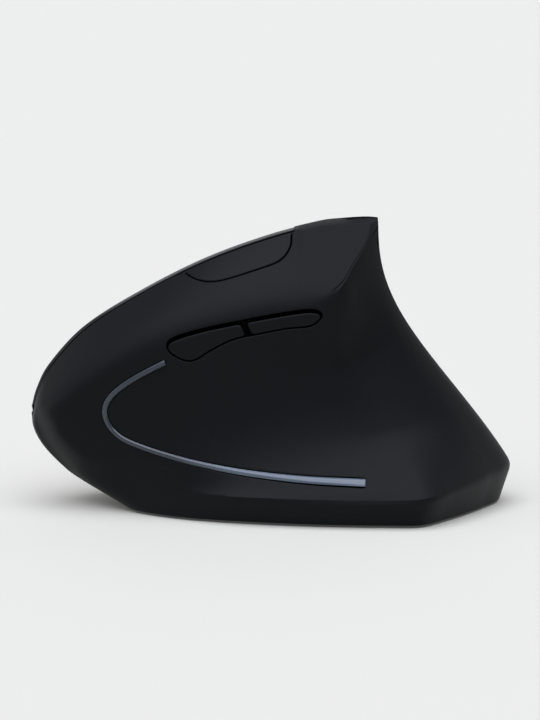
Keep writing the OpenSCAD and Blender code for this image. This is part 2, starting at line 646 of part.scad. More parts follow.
// One side of the slanted gap between the thumb buttons
module thumb_side(part) translate(thumb_place + split_at) rotate([0, 0, split_lean])
    translate([part * (thumb_split + half_plane) / 2, 0]) square(half_plane, center = true);
module thumb_half(part) {
    intersection() {
        offset(delta = -button_gap) thumb_pocket();
        translate([0, -thumb_lip_gap]) offset(delta = -button_gap) thumb_pocket();
        thumb_side(part);
    }
}
module thumb_button(part, stem) {
    g = patch(0.36, 0.77, crease_row - 4, crease_row);
    intersection() {
        shell(g, wall, 1, whole(g));
        side_cut() thumb_half(part);
    }
    p = thumb_place + stem;
    translate([p.x, thumb_stem_end, p.y]) rotate([90, 0, 0])
        cylinder(r = stem_radius, h = thumb_stem_end - thumb_depth - key_root * wall);
}
module forward_button() color("#2f3236") thumb_button(-1, forward_stem);
module back_button() color("#2f3236") thumb_button(1, back_stem);
module accent_strip() {
    g = patch(0.2, 0.74, 1, crease_row - 1);
    color("#66717c") intersection() {
        shell(g, wall, 1, whole(g));
        side_cut() strip_outline(strip_width, 0);
    }
}

module base_plate() {
    color("#1d1f21") difference() {
        union() {
            translate([0, 0, base_bottom]) linear_extrude(base_thickness) polygon(base_outline);
            translate([bay_x - bay_wall, -bay_half - bay_wall, base_bottom]) cube([
                bay_length + 2 * bay_wall, 2 * (bay_half + bay_wall), bay_ceiling + bay_wall - base_bottom]);
            receiver_box(bay_wall + bay_gap, receiver_top + bay_gap + bay_wall);
            for (p = board_posts) translate([p.x, p.y, base_bottom])
                cylinder(r = board_post_radius, h = board_under - base_bottom);
        }
        translate([bay_x, -bay_half, base_bottom - over])
            cube([bay_length, 2 * bay_half, bay_ceiling - base_bottom + over]);
        receiver_box(bay_gap, receiver_top + bay_gap, -over);
        translate([sensor_x - lens_window.x / 2, -lens_window.y / 2, base_bottom - over])
            cube([lens_window.x, lens_window.y, base_thickness + 2 * over]);
        translate([slider_x - slider_size.x / 2 - slider_slot_gap, -slider_size.y / 2 - slider_slot_gap,
            base_bottom - over])
            cube([slider_size.x + slider_travel + 2 * slider_slot_gap, slider_size.y + 2 * slider_slot_gap,
                base_thickness + 2 * over]);
        for (p = concat([for (e = ear_places) ear_at(e)], frame_legs))
            translate([p.x, p.y, base_bottom - over]) {
                cylinder(r = screw_radius + screw_room, h = base_thickness + 2 * over);
                cylinder(r = screw_head_radius + screw_room, h = head_recess + over);
            }
    }
}
module receiver_box(grow, top, down = 0) translate([
        receiver_at.x - receiver_length / 2 - grow, receiver_at.y - receiver_thickness / 2 - grow,
        base_bottom + down])
    cube([receiver_length + 2 * grow, receiver_thickness + 2 * grow, top - base_bottom - down]);
// A foot pad with round ends
module pad(at, length, turn) translate(at) rotate([0, 0, turn]) {
    translate([-length / 2, -pad_radius, 0]) cube([length, 2 * pad_radius, glide_height]);
    for (s = [-1, 1]) translate([s * length / 2, 0, 0]) cylinder(r = pad_radius, h = glide_height);
}
module glide_feet() color("#d8d9db") for (p = pads) pad(p[0], p[1], p[2]);
// Cover with a nail recess at its front end
module battery_cover() color("#232527") difference() {
    translate([bay_x + bay_gap, -bay_half + bay_gap, base_bottom])
        cube([bay_length - 2 * bay_gap, 2 * (bay_half - bay_gap), cover_thickness]);
    translate([bay_x + nail_recess, 0, base_bottom - over])
        cylinder(r = nail_radius, h = over + cover_thickness / 2);
}
module battery_cells() color("#7d8084") for (s = [-1, 1])
    translate([bay_x + cell_room, s * cell_pitch / 2, cell_z]) rotate([0, 90, 0]) {
        cylinder(r = cell_radius, h = cell_length - cell_cap[1]);
        cylinder(r = cell_cap[0], h = cell_length);
    }
module battery_contacts() color("#c3c6ca") for (s = [-1, 1]) for (e = [0, 1])
    translate([bay_x + e * bay_length, s * cell_pitch / 2, cell_z]) rotate([0, 90 - 180 * e, 0]) {
        translate([-contact_plate.x / 2, -contact_plate.y / 2, 0]) cube(contact_plate);
        cylinder(r1 = contact_cone[0], r2 = contact_cone[1], h = cell_room - contact_gap);
    }
module power_slider() color("#a6abb0") {
    translate([slider_x - slider_size.x / 2, -slider_size.y / 2, base_bottom + close_gap])
        cube([slider_size.x, slider_size.y, base_thickness + 2 * close_gap]);
    translate([slider_x - slider_flange.x / 2, -slider_flange.y / 2, base_top + close_gap])
        cube([slider_flange.x, slider_flange.y, slider_plate]);
}
module power_switch() color("#8d9296") {
    low = close_gap + slider_plate + slider_room;
    translate([slider_x - power_size.x / 2, -power_size.y / 2, base_top + low])
        cube([power_size.x + slider_travel, power_size.y, board_lift - low]);
}
module usb_receiver() {
    color("#202225") translate([receiver_at.x - receiver_length / 2, receiver_at.y - receiver_thickness / 2,
        receiver_low]) cube([receiver_length, receiver_thickness, receiver_body]);
    color("#b9bdc2") translate([receiver_at.x - plug_size.x / 2, receiver_at.y - plug_size.y / 2,
        receiver_low + receiver_body - plug_root])
        cube([plug_size.x, plug_size.y, receiver_height - receiver_body + plug_root]);
}
module inner_frame() color("#3c4044") {
    difference() {
        union() {
            translate([rib_x[0], 0, 0]) rotate([90, 0, 90]) linear_extrude(rib_x[1] - rib_x[0]) polygon([
                [rib_foot[0], base_top], [rib_foot[1], base_top], [rib_shoulder, rib_steps[2]],
                [thumb_wall[0] + rib_slant, rib_steps[2]], [thumb_wall[0], rib_steps[1]],
                [thumb_wall[0], rib_steps[0]]]);
            for (p = frame_legs) translate([p.x, p.y, base_top]) cylinder(r = leg_radius, h = body_height);
        }
        on_deck() translate([-far / 2, -far / 2, deck_under + deck_root]) cube(far);
        over_shelf();
        for (p = frame_legs) translate([p.x, p.y, base_top - over])
            cylinder(r = screw_pilot, h = ear_height + leg_bore);
    }
    on_deck() {
        difference() {
            translate([deck_front, -deck_half, deck_under])
                cube([deck_rear - deck_front, 2 * deck_half, deck_thickness]);
            translate([-wheel_window.x / 2, -wheel_window.y / 2, deck_under - over])
                cube([wheel_window.x, wheel_window.y, deck_thickness + 2 * over]);
        }
        for (s = [-1, 1]) translate([s * guide_x, 0, deck_top - deck_sink])
            cylinder(r = guide_radius, h = carrier_height / 2 - deck_top);
        for (p = [left_pivot, right_pivot]) for (s = [-1, 1]) difference() {
            translate([p.x - lug_size.x / 2, p.y + s * lug_out - lug_size.y / 2, deck_top - deck_sink])
                cube([lug_size.x, lug_size.y, p.z + lug_over - deck_top + deck_sink]);
            translate([p.x, p.y + s * lug_out + lug_size.y, p.z]) rotate([90, 0, 0])
                cylinder(r = pivot_radius + turning_gap, h = 2 * lug_size.y);
        }
    }
    translate([thumb_place.x, thumb_wall[1], thumb_place.y]) rotate([90, -thumb_tilt, 0])
        translate([thumb_board_at.x - thumb_board_size.x / 2, thumb_board_at.y - thumb_board_size.y / 2, 0])
        cube([thumb_board_size.x, thumb_board_size.y, deck_thickness]);
    dpi_bracket();
}
// Shelf for the top button's board, on an upright over the thumb wall
module dpi_bracket() {
    on_facet() translate([dpi_board_at.x - dpi_board_size.x / 2, dpi_board_at.y - dpi_board_size.y / 2,
        shelf_top - dpi_bracket_thickness])
        cube([dpi_board_size.x, dpi_board_size.y, dpi_bracket_thickness]);
    difference() {
        translate([thumb_place.x + bracket_from, thumb_wall[0], thumb_place.y])
            cube([bracket_post.x, deck_thickness, bracket_post.y]);
        over_shelf();
    }
}
module over_shelf() on_facet()
    translate([-far / 2, -far / 2, shelf_top - dpi_bracket_thickness / 2]) cube(far);
module key_board() color("#1e5a3a") on_deck() difference() {
    translate([-board_half.x, -board_half.y, deck_top])
        cube([2 * board_half.x, 2 * board_half.y, board_thickness]);
    translate([-wheel_window.x / 2, -wheel_window.y / 2, deck_top - over])
        cube([wheel_window.x, wheel_window.y, board_thickness + 2 * over]);
    for (s = [-1, 1]) translate([s * guide_x, 0, deck_top - over])
        cylinder(r = guide_radius + turning_gap, h = board_thickness + 2 * over);
}
module main_board() color("#1e5a3a") difference() {
    translate([main_board_x[0], main_board_y[0], board_under])
        cube([main_board_x[1] - main_board_x[0], main_board_y[1] - main_board_y[0], board_thickness]);
    translate([sensor_x, 0, board_under - over]) cylinder(r = lens_hole, h = board_thickness + 2 * over);
}
module thumb_board() color("#1e5a3a") translate([thumb_place.x, thumb_wall[0], thumb_place.y])
    rotate([90, -thumb_tilt, 0])
    translate([thumb_board_at.x - thumb_board_size.x / 2, thumb_board_at.y - thumb_board_size.y / 2, 0])
    cube([thumb_board_size.x, thumb_board_size.y, board_thickness]);
module dpi_board() color("#1e5a3a") on_facet() translate([dpi_board_at.x - dpi_board_size.x / 2,
    dpi_board_at.y - dpi_board_size.y / 2, dpi_board_top - board_thickness])
    cube([dpi_board_size.x, dpi_board_size.y, board_thickness]);
// Key switch: a block with a small round nib
module key_switch(side) on_deck() translate([switch_at.x, side * switch_at.y, board_top]) {
    translate([-switch_size.x / 2, -switch_size.y / 2, 0]) cube(switch_size);
    cylinder(r = switch_nib_radius, h = switch_size.z + switch_nib);
}
module left_switch() color("#4a4d52") key_switch(-1);
module right_switch() color("#4a4d52") key_switch(1);
// Tact switch: a low block with a round button
module tact(size, nib) {
    translate([-size.x / 2, -size.y / 2, 0]) cube(size);
    cylinder(r = tact_nib_radius, h = size.z + nib);
}
module wheel_switch() color("#5a5e63") on_deck()
    translate([wheel_switch_at.x, wheel_switch_at.y, board_top]) tact(tact_size, wheel_nib);
module dpi_switch() color("#5a5e63") on_facet() translate([dpi_stem_at.x, dpi_stem_at.y, dpi_board_top])
    tact(slim_tact_size, slim_tact_nib);
module thumb_switches() color("#5a5e63") for (s = [forward_stem, back_stem])
    translate([thumb_place.x + s.x, thumb_board_front, thumb_place.y + s.y]) rotate([90, -thumb_tilt, 0])
    tact(tact_size, tact_nib);

module on_axle(y) on_deck() translate([0, y, 0]) rotate([-90, 0, 0]) children();
module scroll_wheel() color("#3f4348") on_axle(-wheel_width / 2) difference() {
    cylinder(r = hub_radius, h = wheel_width);
    translate([0, 0, -over]) cylinder(r = axle_radius, h = wheel_width + 2 * over);
    for (z = [-over, wheel_width - hub_recess]) translate([0, 0, z]) difference() {
        cylinder(r = hub_radius - hub_rim, h = hub_recess + over);
        translate([0, 0, -over]) cylinder(r = axle_radius + hub_rim, h = hub_recess + 3 * over);
    }
}
module wheel_tyre() color("#1a1b1d") on_axle(-wheel_width / 2) difference() {
    rotate_extrude($fn = 96) translate([hub_radius, 0]) {
        r = wheel_radius - hub_radius;
        square([r - tyre_edge, wheel_width]);
        translate([0, tyre_edge]) square([r, wheel_width - 2 * tyre_edge]);
        for (y = [tyre_edge, wheel_width - tyre_edge]) translate([r - tyre_edge, y]) circle(r = tyre_edge);
    }
    for (k = [0 : tyre_grooves - 1]) rotate([0, 0, k * 360 / tyre_grooves])
        translate([wheel_radius + close_gap, 0, -over])
        cylinder(r = groove_radius, h = wheel_width + 2 * over, $fn = 16);
}
module wheel_axle() color("#b4b8bd") on_axle(axle_ends[0])
    cylinder(r = axle_radius, h = axle_ends[1] - axle_ends[0]);
module wheel_carrier() color("#53575c") on_deck() difference() {
    union() {
        translate([-carrier_half.x, -carrier_half.y, -carrier_height / 2])
            cube([2 * carrier_half.x, 2 * carrier_half.y, carrier_height]);
        translate([0, carrier_half.y, 0]) rotate([90, 0, 0])
            cylinder(r = cheek_radius, h = 2 * carrier_half.y);
    }
    translate([-carrier_window.x, -carrier_window.y, -wheel_radius])
        cube([2 * carrier_window.x, 2 * carrier_window.y, 2 * wheel_radius]);
    translate([0, carrier_half.y + over, 0]) rotate([90, 0, 0])
        cylinder(r = axle_radius + turning_gap, h = 2 * (carrier_half.y + over));
    for (s = [-1, 1]) translate([s * guide_x, 0, -carrier_height])
        cylinder(r = guide_radius + turning_gap, h = 2 * carrier_height);
}
module scroll_encoder() color("#6a6f75") on_deck() difference() {
    translate([-encoder_size.x / 2, carrier_half.y, encoder_low]) cube(encoder_size);
    translate([0, carrier_half.y - over, 0]) rotate([-90, 0, 0])
        cylinder(r = axle_radius + turning_gap, h = axle_grip + over + 2 * close_gap);
}
module sensor_lens() color("#cfe3ea") {
    translate([sensor_x - lens_size.x / 2, -lens_size.y / 2, base_bottom + lens_recess])
        cube([lens_size.x, lens_size.y, board_under - base_bottom - lens_recess]);
    translate([sensor_x, 0, board_under - lens_root])
        cylinder(r = lens_neck[0], h = board_thickness + lens_neck[1]);
}
module sensor_chip() color("#17181a")
    translate([sensor_x - chip_size.x / 2, -chip_size.y / 2, board_under + board_thickness]) cube(chip_size);
module sensor_lamp() color("#b24a45")
    translate([sensor_x - lamp_from_sensor, 0, board_under + board_thickness]) {
        cylinder(r = lamp_radius, h = lamp_height);
        translate([0, 0, lamp_height]) sphere(r = lamp_radius);
    }
// Pan screw put in from below, standing in a recess of the base plate
module screw() {
    translate([0, 0, base_bottom + head_recess - screw_head_height])
        cylinder(r = screw_head_radius, h = screw_head_height);
    translate([0, 0, base_bottom + head_recess - 2 * close_gap])
        cylinder(r = screw_radius, h = ear_height + base_thickness - head_recess);
}
module case_screws() color("#9a9ea3") for (e = ear_places) translate(ear_at(e)) screw();
module frame_screws() color("#9a9ea3") for (p = frame_legs) translate(p) screw();

thumb_shell();
finger_shell();
left_key();
right_key();
dpi_button();
forward_button();
back_button();
accent_strip();
base_plate();
glide_feet();
battery_cover();
battery_cells();
battery_contacts();
power_slider();
power_switch();
usb_receiver();
inner_frame();
key_board();
main_board();
thumb_board();
dpi_board();
left_switch();
right_switch();
wheel_switch();
dpi_switch();
thumb_switches();
scroll_wheel();
wheel_tyre();
wheel_axle();
wheel_carrier();
scroll_encoder();
sensor_lens();
sensor_chip();
sensor_lamp();
case_screws();
frame_screws();
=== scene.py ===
"""Vertical mouse: smooth shells, keys, buttons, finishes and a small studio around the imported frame."""

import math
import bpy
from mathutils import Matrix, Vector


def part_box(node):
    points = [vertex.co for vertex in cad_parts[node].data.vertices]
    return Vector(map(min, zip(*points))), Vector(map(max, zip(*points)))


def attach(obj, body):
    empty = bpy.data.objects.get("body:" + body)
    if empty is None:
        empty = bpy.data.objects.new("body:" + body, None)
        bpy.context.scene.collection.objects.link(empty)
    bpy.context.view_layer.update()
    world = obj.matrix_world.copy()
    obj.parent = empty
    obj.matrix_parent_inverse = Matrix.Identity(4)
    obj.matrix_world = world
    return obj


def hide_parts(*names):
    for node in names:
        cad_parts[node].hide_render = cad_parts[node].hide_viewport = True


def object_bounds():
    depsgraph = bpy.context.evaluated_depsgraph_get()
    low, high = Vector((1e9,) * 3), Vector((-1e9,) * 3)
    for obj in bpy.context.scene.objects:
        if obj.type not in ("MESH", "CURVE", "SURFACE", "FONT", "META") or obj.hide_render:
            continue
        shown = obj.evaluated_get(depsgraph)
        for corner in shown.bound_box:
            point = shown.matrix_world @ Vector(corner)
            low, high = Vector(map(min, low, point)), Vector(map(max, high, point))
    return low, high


bl_info = {
    "name": "Vertical Mouse",
    "version": (1, 0, 0),
    "blender": (4, 5, 0),
    "location": "3D View > Sidebar > Mouse",
    "description": "Builds the visible pieces of a vertical mouse around its packed frame",
    "category": "Add Mesh",
}

import bpy
import numpy as np
from bpy.props import FloatProperty, FloatVectorProperty, PointerProperty
from mathutils import Vector
from mathutils.geometry import delaunay_2d_cdt

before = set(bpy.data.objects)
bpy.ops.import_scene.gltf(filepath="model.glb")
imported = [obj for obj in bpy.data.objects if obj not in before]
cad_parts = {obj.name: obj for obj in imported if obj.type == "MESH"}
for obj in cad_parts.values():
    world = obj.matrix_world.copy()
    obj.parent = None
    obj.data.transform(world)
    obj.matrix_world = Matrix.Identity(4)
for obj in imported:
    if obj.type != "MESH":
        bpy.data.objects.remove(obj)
CAD_BOX = [list(corner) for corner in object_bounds()]
MM = 1000.0

# Guide lines of the body in millimetres, from the nose (first station) to the rear (last station)
STATIONS = np.array([0, 0.05, 0.12, 0.22, 0.35, 0.48, 0.61, 0.73, 0.80, 0.87, 0.94, 1])
RIDGE = np.array([
    (-60.3, 3.2, 23.5), (-58.8, 2.2, 29.2), (-55.5, 1.2, 35.7), (-46.7, 0, 45.4),
    (-32.4, -1.2, 54.7), (-16.5, -2.6, 62.95), (-0.7, -3.6, 68.9), (12.1, -4.1, 72.3),
    (17.3, -4.3, 72.9), (21, -4.4, 73.1), (24, -4.7, 73.1), (25.85, -4.9, 72.9),
])
CREASE = np.array([
    (-59.9, 3.2, 20.2), (-59.1, -4.2, 22.2), (-54.6, -9.4, 26.1), (-45.2, -12.2, 34.1),
    (-31.6, -14.4, 43.7), (-16.3, -16, 50.2), (-0.9, -16.6, 53.9), (11.5, -16.6, 54.8),
    (16.6, -14.9, 57.8), (19.8, -11.9, 62.6), (22.9, -9, 67.1), (26, -6.1, 71.2),
])
THUMB_FOOT = np.array([
    (-48.8, 3.2, 0), (-48.3, -4.6, 0), (-44.2, -10.8, 0), (-34.2, -16.6, 0),
    (-20.3, -22.6, 0), (-4.2, -27.3, 0), (12, -30.3, 0), (28, -31.4, 0),
    (37.8, -30.6, 0), (45.8, -21.5, 0), (54.3, -8.3, 0), (60, 5, 0),
])
FINGER_FOOT = np.array([
    (-48.8, 3.2, 0), (-47.5, 10.4, 0), (-42.6, 16.6, 0), (-33.2, 22.3, 0),
    (-19.5, 27, 0), (-3.6, 30.2, 0), (12.5, 31.4, 0), (27.5, 30.8, 0),
    (36.5, 28.6, 0), (46, 23.6, 0), (55, 15.2, 0), (60, 5, 0),
])
# Inward shift of the rear corner above the foot line, so that it fades out upwards
REAR_EASE = np.array([
    (0, 0, 0), (0, 0, 0), (0, 0, 0), (0, 0, 0), (0, 0, 0), (0, 0, 0),
    (0, 0.3, 0), (-1.3, 2, 0), (-1, 5, 0), (1.5, 4.5, 0), (2, 2.3, 0), (0, 0, 0),
])
DRAWN_LENGTH = 120.0
DRAWN_HEIGHT = 73.0

# Outlines of the inset pieces in millimetres
POCKET = np.array([
    (-18.9, -4.6), (-17.1, -2.5), (-9.8, -0.1), (-1.6, 1.7), (6.5, 3.3), (14.6, 4.6), (17.9, 4.5),
    (19.4, 3.3), (18.3, 1.3), (15.8, 0.1), (10.6, -0.4), (3.3, -1.8), (-2.5, -3.1), (-8.2, -6),
    (-11.1, -7.9), (-13.9, -8.5), (-17.6, -6.9),
])
POCKET_PLACE = (0.546, 0.892)
SPLIT_AT = np.array((0.6, -0.2))
SPLIT_LEAN = math.radians(25)
SPLIT_ACROSS = np.array((math.cos(SPLIT_LEAN), math.sin(SPLIT_LEAN)))
RIDGE_BUTTON = np.array([
    (-15.4, 0.4), (-14.9, -1), (-13.8, -3.2), (-12.3, -5.2), (-10.5, -6.8), (-8.5, -7.85),
    (-6, -8.45), (-3, -8.65), (3.2, -8.5), (6.4, -8.35), (8.5, -8), (10.5, -6.95), (12, -5.45),
    (12.9, -3.9), (13.4, -2.3), (13.8, -0.6), (14, 0.8), (14, 4), (-15.4, 4),
])
RIDGE_BUTTON_U = 0.545
RIDGE_BUTTON_SPAN = (0.41, 0.68)
# Flange of a thumb button in millimetres: reach past the pocket, depth behind the skin, thickness, gap
FLANGE = {"reach": 0.9, "behind": 2.1, "thick": 0.6, "split": 0.5}
FLANGE_ROLL = 0.1
# Half length and half width of the wheel's slot in millimetres
WHEEL_SLOT = (10.6, 4.2)
# Accent strip in shares of the scoop's length and height, and how much wider its rear end gets
STRIP = np.array([
    (0.379, 0.824), (0.343, 0.815), (0.311, 0.809), (0.282, 0.8), (0.258, 0.783), (0.238, 0.747),
    (0.225, 0.684), (0.222, 0.601), (0.227, 0.511), (0.243, 0.419), (0.276, 0.333), (0.323, 0.255),
    (0.386, 0.186), (0.469, 0.129), (0.583, 0.091), (0.7, 0.076),
])
STRIP_SPREAD = 0.35
STRIP_CROWN = 0.9

# Where the keys start, end and meet on the finger face, and the wheel's place
KEY_START = 0.014
NOTCH = 0.665
KEY_SPLIT = 0.5
KEY_LOW = 0.16
WHEEL_U = 0.33
# Millimetres along the face for one unit of u at the notch
NOTCH_RUN = 140

# Stretches of u or v on which a form grows or fades: start and length
LIP_GROWS = (0.12, 0.25)
LIP_FADES = (0.75, 0.25)
NOSE_FADES = (0, 0.16)
REAR_GROWS = (0.7, 0.3)
FOOT_LIFTS = (0.72, 0.28)
RIM_WIDENS = (NOTCH, 0.02)
SCOOP_STARTS = (0, 0.25)
SCOOP_DEEPENS = (0.3, 0.4)
EASE_GROWS = (0, 0.3)
EASE_FADES = (0.6, 0.4)
BOW_GROWS = (0, 0.12)
BOW_FADES = (0.35, 0.3)
CHIN_SHARPENS = (0.1, 0.3)
CREASE_SOFTENS = (0, 0.05)
CREASE_SHARPENS = (0.67, 0.1)
CREASE_LINE_GROWS = (0.74, 0.06)
RELIEF_FADES = (0, 0.2)
STRIP_WIDENS = (0.8, 0.2)

# Rim: share of its drop and reach in front of the notch, and at each end the share and how fast it grows
FRONT_RIM = 0.48
RIM_NOSE = (0.2, 0.04)
RIM_REAR = (0.3, 0.07)
# Lip: fall for each millimetre that it lies back, and where it turns on its way across and up
LIP_FALL = 0.15
LIP_TURN = (0.45, 0.6)
# Scoop: share that starts at the nose; powers that move the deepest place of the scoop and of the rear line
SCOOP_EARLY = 0.35
SCOOP_POWER = 0.6
HOLLOW_POWER = 1.6
# Where the bow of the finger face is full, the extra key gap ends, and the chin starts (in millimetres)
FACE_BOW_FULL = 0.3
NOSE_GAP_END = 0.1
CHIN_X = -10
# Fine line that is pressed into the rear crease
CREASE_LINE = np.array((-0.1, 0.3, -0.12))

# Band round the nose: end of its border, fading along x and z in millimetres, share at the foot, form, blur
NOSE_BORDER = 0.45
NOSE_BAND_X = (-46, 40)
NOSE_BAND_Z = (7.3, 8)
NOSE_BAND_LOW = 0.8
NOSE_BAND_POWER = 1.15
NOSE_BAND_BLUR = 10
NOSE_BAND_STARTS = (0, 0.08)
NOSE_BAND_TOP = (0, 0.8)
# Way in which this band turns: back, and a little down
TURN_AWAY = np.array((0, 1, -0.17))

# Walls: share left at the sharp rear corner, on which way from it, and share left beside the ridge seam
CORNER_WALL = 0.12
CORNER_THICKENS = (2, 9)
SEAM_WALL = 0.3
# Edge rolling of the small pieces, as a share of the common one
RIDGE_BUTTON_ROLL = 1.4
THUMB_BUTTON_ROLL = 1.6
STRIP_ROLL = 0.6

# Columns and rows of the fine surfaces, and how far the columns crowd towards both ends
COLUMNS = 230
KEY_COLUMNS = 180
CROWDING = 0.4
BAND_ROWS = 14
SCOOP_ROWS = 86
FACET_ROWS = 30
LIP_ROWS = 10
FACE_ROWS = 110
# Points along the outline of a panel
FOOT_STEPS = 200
SEAM_STEPS = 160
END_STEPS = 120
TOP_STEPS = 80
# Spacing of outline points in millimetres
LINE_PITCH = 0.4
HOLE_PITCH = 0.3
BUTTON_PITCH = 0.25
# Step of u for slopes
TINY = 0.002

# Soft panels of the studio: direction, half angles where the glow starts and is full, tint, strength
PANELS = (
    ((0, 0, 1), 100, 60, (1, 1, 1), 0.08),
    ((-0.03, -0.42, 1), 48, 28, (0.965, 0.995, 1.12), 3.6),
    ((-1, 0.1, 0.25), 40, 18, (0.97, 1, 1.04), 1.05),
    ((0.8, 0.9, 0.35), 40, 18, (0.97, 1, 1.03), 0.35),
    ((0, 1, 0.45), 34, 16, (0.98, 1, 1.02), 0.95),
    ((1, 0.1, 0.3), 34, 12, (0.97, 1, 1.03), 0.5),
)
FLOOR_HALF = 6.0


class MouseSizes(bpy.types.PropertyGroup):
    """Sizes of the body and its gaps"""
    length: FloatProperty(
        name="Length", description="Nose to rear tip", subtype="DISTANCE",
        default=CAD_BOX[1][0] - CAD_BOX[0][0])
    height: FloatProperty(
        name="Height", description="Table to ridge", subtype="DISTANCE",
        default=CAD_BOX[1][2] - CAD_BOX[0][2])
    wall: FloatProperty(
        name="Wall", description="Thickness of shells and keys", subtype="DISTANCE", default=0.0019)
    glide: FloatProperty(
        name="Glide height", description="Space between table and case edge", subtype="DISTANCE",
        default=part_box("glide_feet")[1].z)
    foot_height: FloatProperty(
        name="Foot line", description="Height of the sharp foot line", subtype="DISTANCE", default=0.0073)
    rear_lift: FloatProperty(
        name="Rear lift", description="Rise of the foot line at the rear", subtype="DISTANCE",
        default=0.0025)
    side_inset: FloatProperty(
        name="Side tuck", description="Tuck of the case edge under the foot line", subtype="DISTANCE",
        default=0.0029)
    chin_inset: FloatProperty(
        name="Chin tuck", description="Set-back of the case edge under the nose", subtype="DISTANCE",
        default=0.0094)
    scoop_depth: FloatProperty(
        name="Scoop", description="Depth of the thumb scoop", subtype="DISTANCE", default=0.006)
    facet_bow: FloatProperty(
        name="Facet bow", description="Bow of the facet under the ridge", subtype="DISTANCE",
        default=0.0007)
    face_bulge: FloatProperty(
        name="Finger bow", description="Outward bow of the finger face", subtype="DISTANCE", default=0.0056)
    rear_hollow: FloatProperty(
        name="Rear hollow", description="Hollow of the rear line", subtype="DISTANCE", default=0.0063)
    nose_round: FloatProperty(
        name="Nose bow", description="Bow of the nose line", subtype="DISTANCE", default=0.0032)
    nose_band: FloatProperty(
        name="Nose band", description="Width of the soft band round the nose", subtype="DISTANCE",
        default=0.0068)
    nose_roll: FloatProperty(
        name="Nose roll", description="How far that band turns away", subtype="DISTANCE", default=0.006)
    rim_drop: FloatProperty(
        name="Rim drop", description="Drop of the rim below the ridge", subtype="DISTANCE", default=0.0013)
    rim_reach: FloatProperty(
        name="Rim reach", description="Reach of the rim to the thumb side", subtype="DISTANCE",
        default=0.0016)
    lip_back: FloatProperty(
        name="Lip", description="How far the top edge lies back from the rim", subtype="DISTANCE",
        default=0.002)
    key_gap: FloatProperty(
        name="Key gap", description="Gap round the main keys", subtype="DISTANCE", default=0.00045)
    hinge_gap: FloatProperty(
        name="Hinge gap", description="Gap behind the main keys", subtype="DISTANCE", default=0.00025)
    seam_gap: FloatProperty(
        name="Seam", description="Gap between the two shells", subtype="DISTANCE", default=0.0003)
    nose_gap: FloatProperty(
        name="Nose gap", description="Extra gap that the keys move into", subtype="DISTANCE",
        default=0.00035)
    button_gap: FloatProperty(
        name="Button gap", description="Gap round the buttons", subtype="DISTANCE", default=0.00035)
    pocket_lip: FloatProperty(
        name="Pocket lip", description="Extra shadow gap over the thumb buttons", subtype="DISTANCE",
        default=0.0007)
    button_split: FloatProperty(
        name="Button split", description="Slanted gap between the thumb buttons", subtype="DISTANCE",
        default=0.0016)
    strip_width: FloatProperty(
        name="Strip", description="Width of the accent strip", subtype="DISTANCE", default=0.0013)
    strip_bead: FloatProperty(
        name="Strip bead", description="Height of the strip's rounded face", subtype="DISTANCE",
        default=0.0004)
    strip_gap: FloatProperty(
        name="Strip gap", description="Gap on each side of the strip", subtype="DISTANCE", default=0.00012)
    edge_roll: FloatProperty(
        name="Edge rolling", description="Radius of the moulded edges", subtype="DISTANCE", default=0.00018)


class MouseColours(bpy.types.PropertyGroup):
    """Colours of the finishes"""
    soft_black: FloatVectorProperty(
        name="Soft black", description="Rubbery coat of the shells", subtype="COLOR",
        default=(0.0042, 0.0047, 0.0055))
    key_black: FloatVectorProperty(
        name="Key black", description="Satin coat of the keys", subtype="COLOR",
        default=(0.0046, 0.0051, 0.0059))
    button_black: FloatVectorProperty(
        name="Button black", description="Satin coat of the buttons", subtype="COLOR",
        default=(0.0044, 0.0048, 0.0055))
    accent: FloatVectorProperty(
        name="Accent", description="Blue grey of the strip", subtype="COLOR",
        default=(0.042, 0.054, 0.071))
    base_black: FloatVectorProperty(
        name="Base black", description="Moulded base and cover", subtype="COLOR",
        default=(0.012, 0.0124, 0.013))
    board_green: FloatVectorProperty(
        name="Board green", description="Solder mask of the boards", subtype="COLOR",
        default=(0.012, 0.085, 0.04))


class MouseStage(bpy.types.PropertyGroup):
    """Camera and light"""
    distance: FloatProperty(
        name="Camera distance", description="Camera to the middle of the mouse", subtype="DISTANCE",
        default=1.0)
    elevation: FloatProperty(
        name="Elevation", description="Height angle of the camera", subtype="ANGLE",
        default=math.radians(9.6))
    lens: FloatProperty(name="Lens", description="Focal length in millimetres", default=201.5)
    aim: FloatVectorProperty(
        name="Aim", description="Point in the middle of the picture", subtype="TRANSLATION",
        default=(-0.0005, -0.0018, 0.03705))
    floor_tone: FloatVectorProperty(
        name="Floor", description="Colour of the floor", subtype="COLOR", default=(0.517, 0.506, 0.455))
    floor_glow: FloatProperty(
        name="Floor glow", description="Light that the floor sheet gives by itself", default=0.05)


def sizes_in_mm():
    """The sizes as a plain dictionary in millimetres."""
    sizes = bpy.context.scene.mouse_sizes
    return {name: getattr(sizes, name) * MM for name in MouseSizes.__annotations__}


def unit(v):
    return v / np.maximum(np.linalg.norm(v, axis=-1, keepdims=True), 1e-12)


def smooth(t):
    s = np.clip(t, 0, 1)
    return s * s * (3 - 2 * s)


def ramp(t, stretch):
    """Grows softly from 0 to 1 on a stretch that is given by its start and length."""
    start, length = stretch
    return smooth((t - start) / length)


def lerp(a, b, t):
    return a + (b - a) * t


def vectors(x, y, z):
    """Stacks three coordinates, which may be single numbers, into points."""
    return np.stack(np.broadcast_arrays(x, y, z), -1).astype(float)


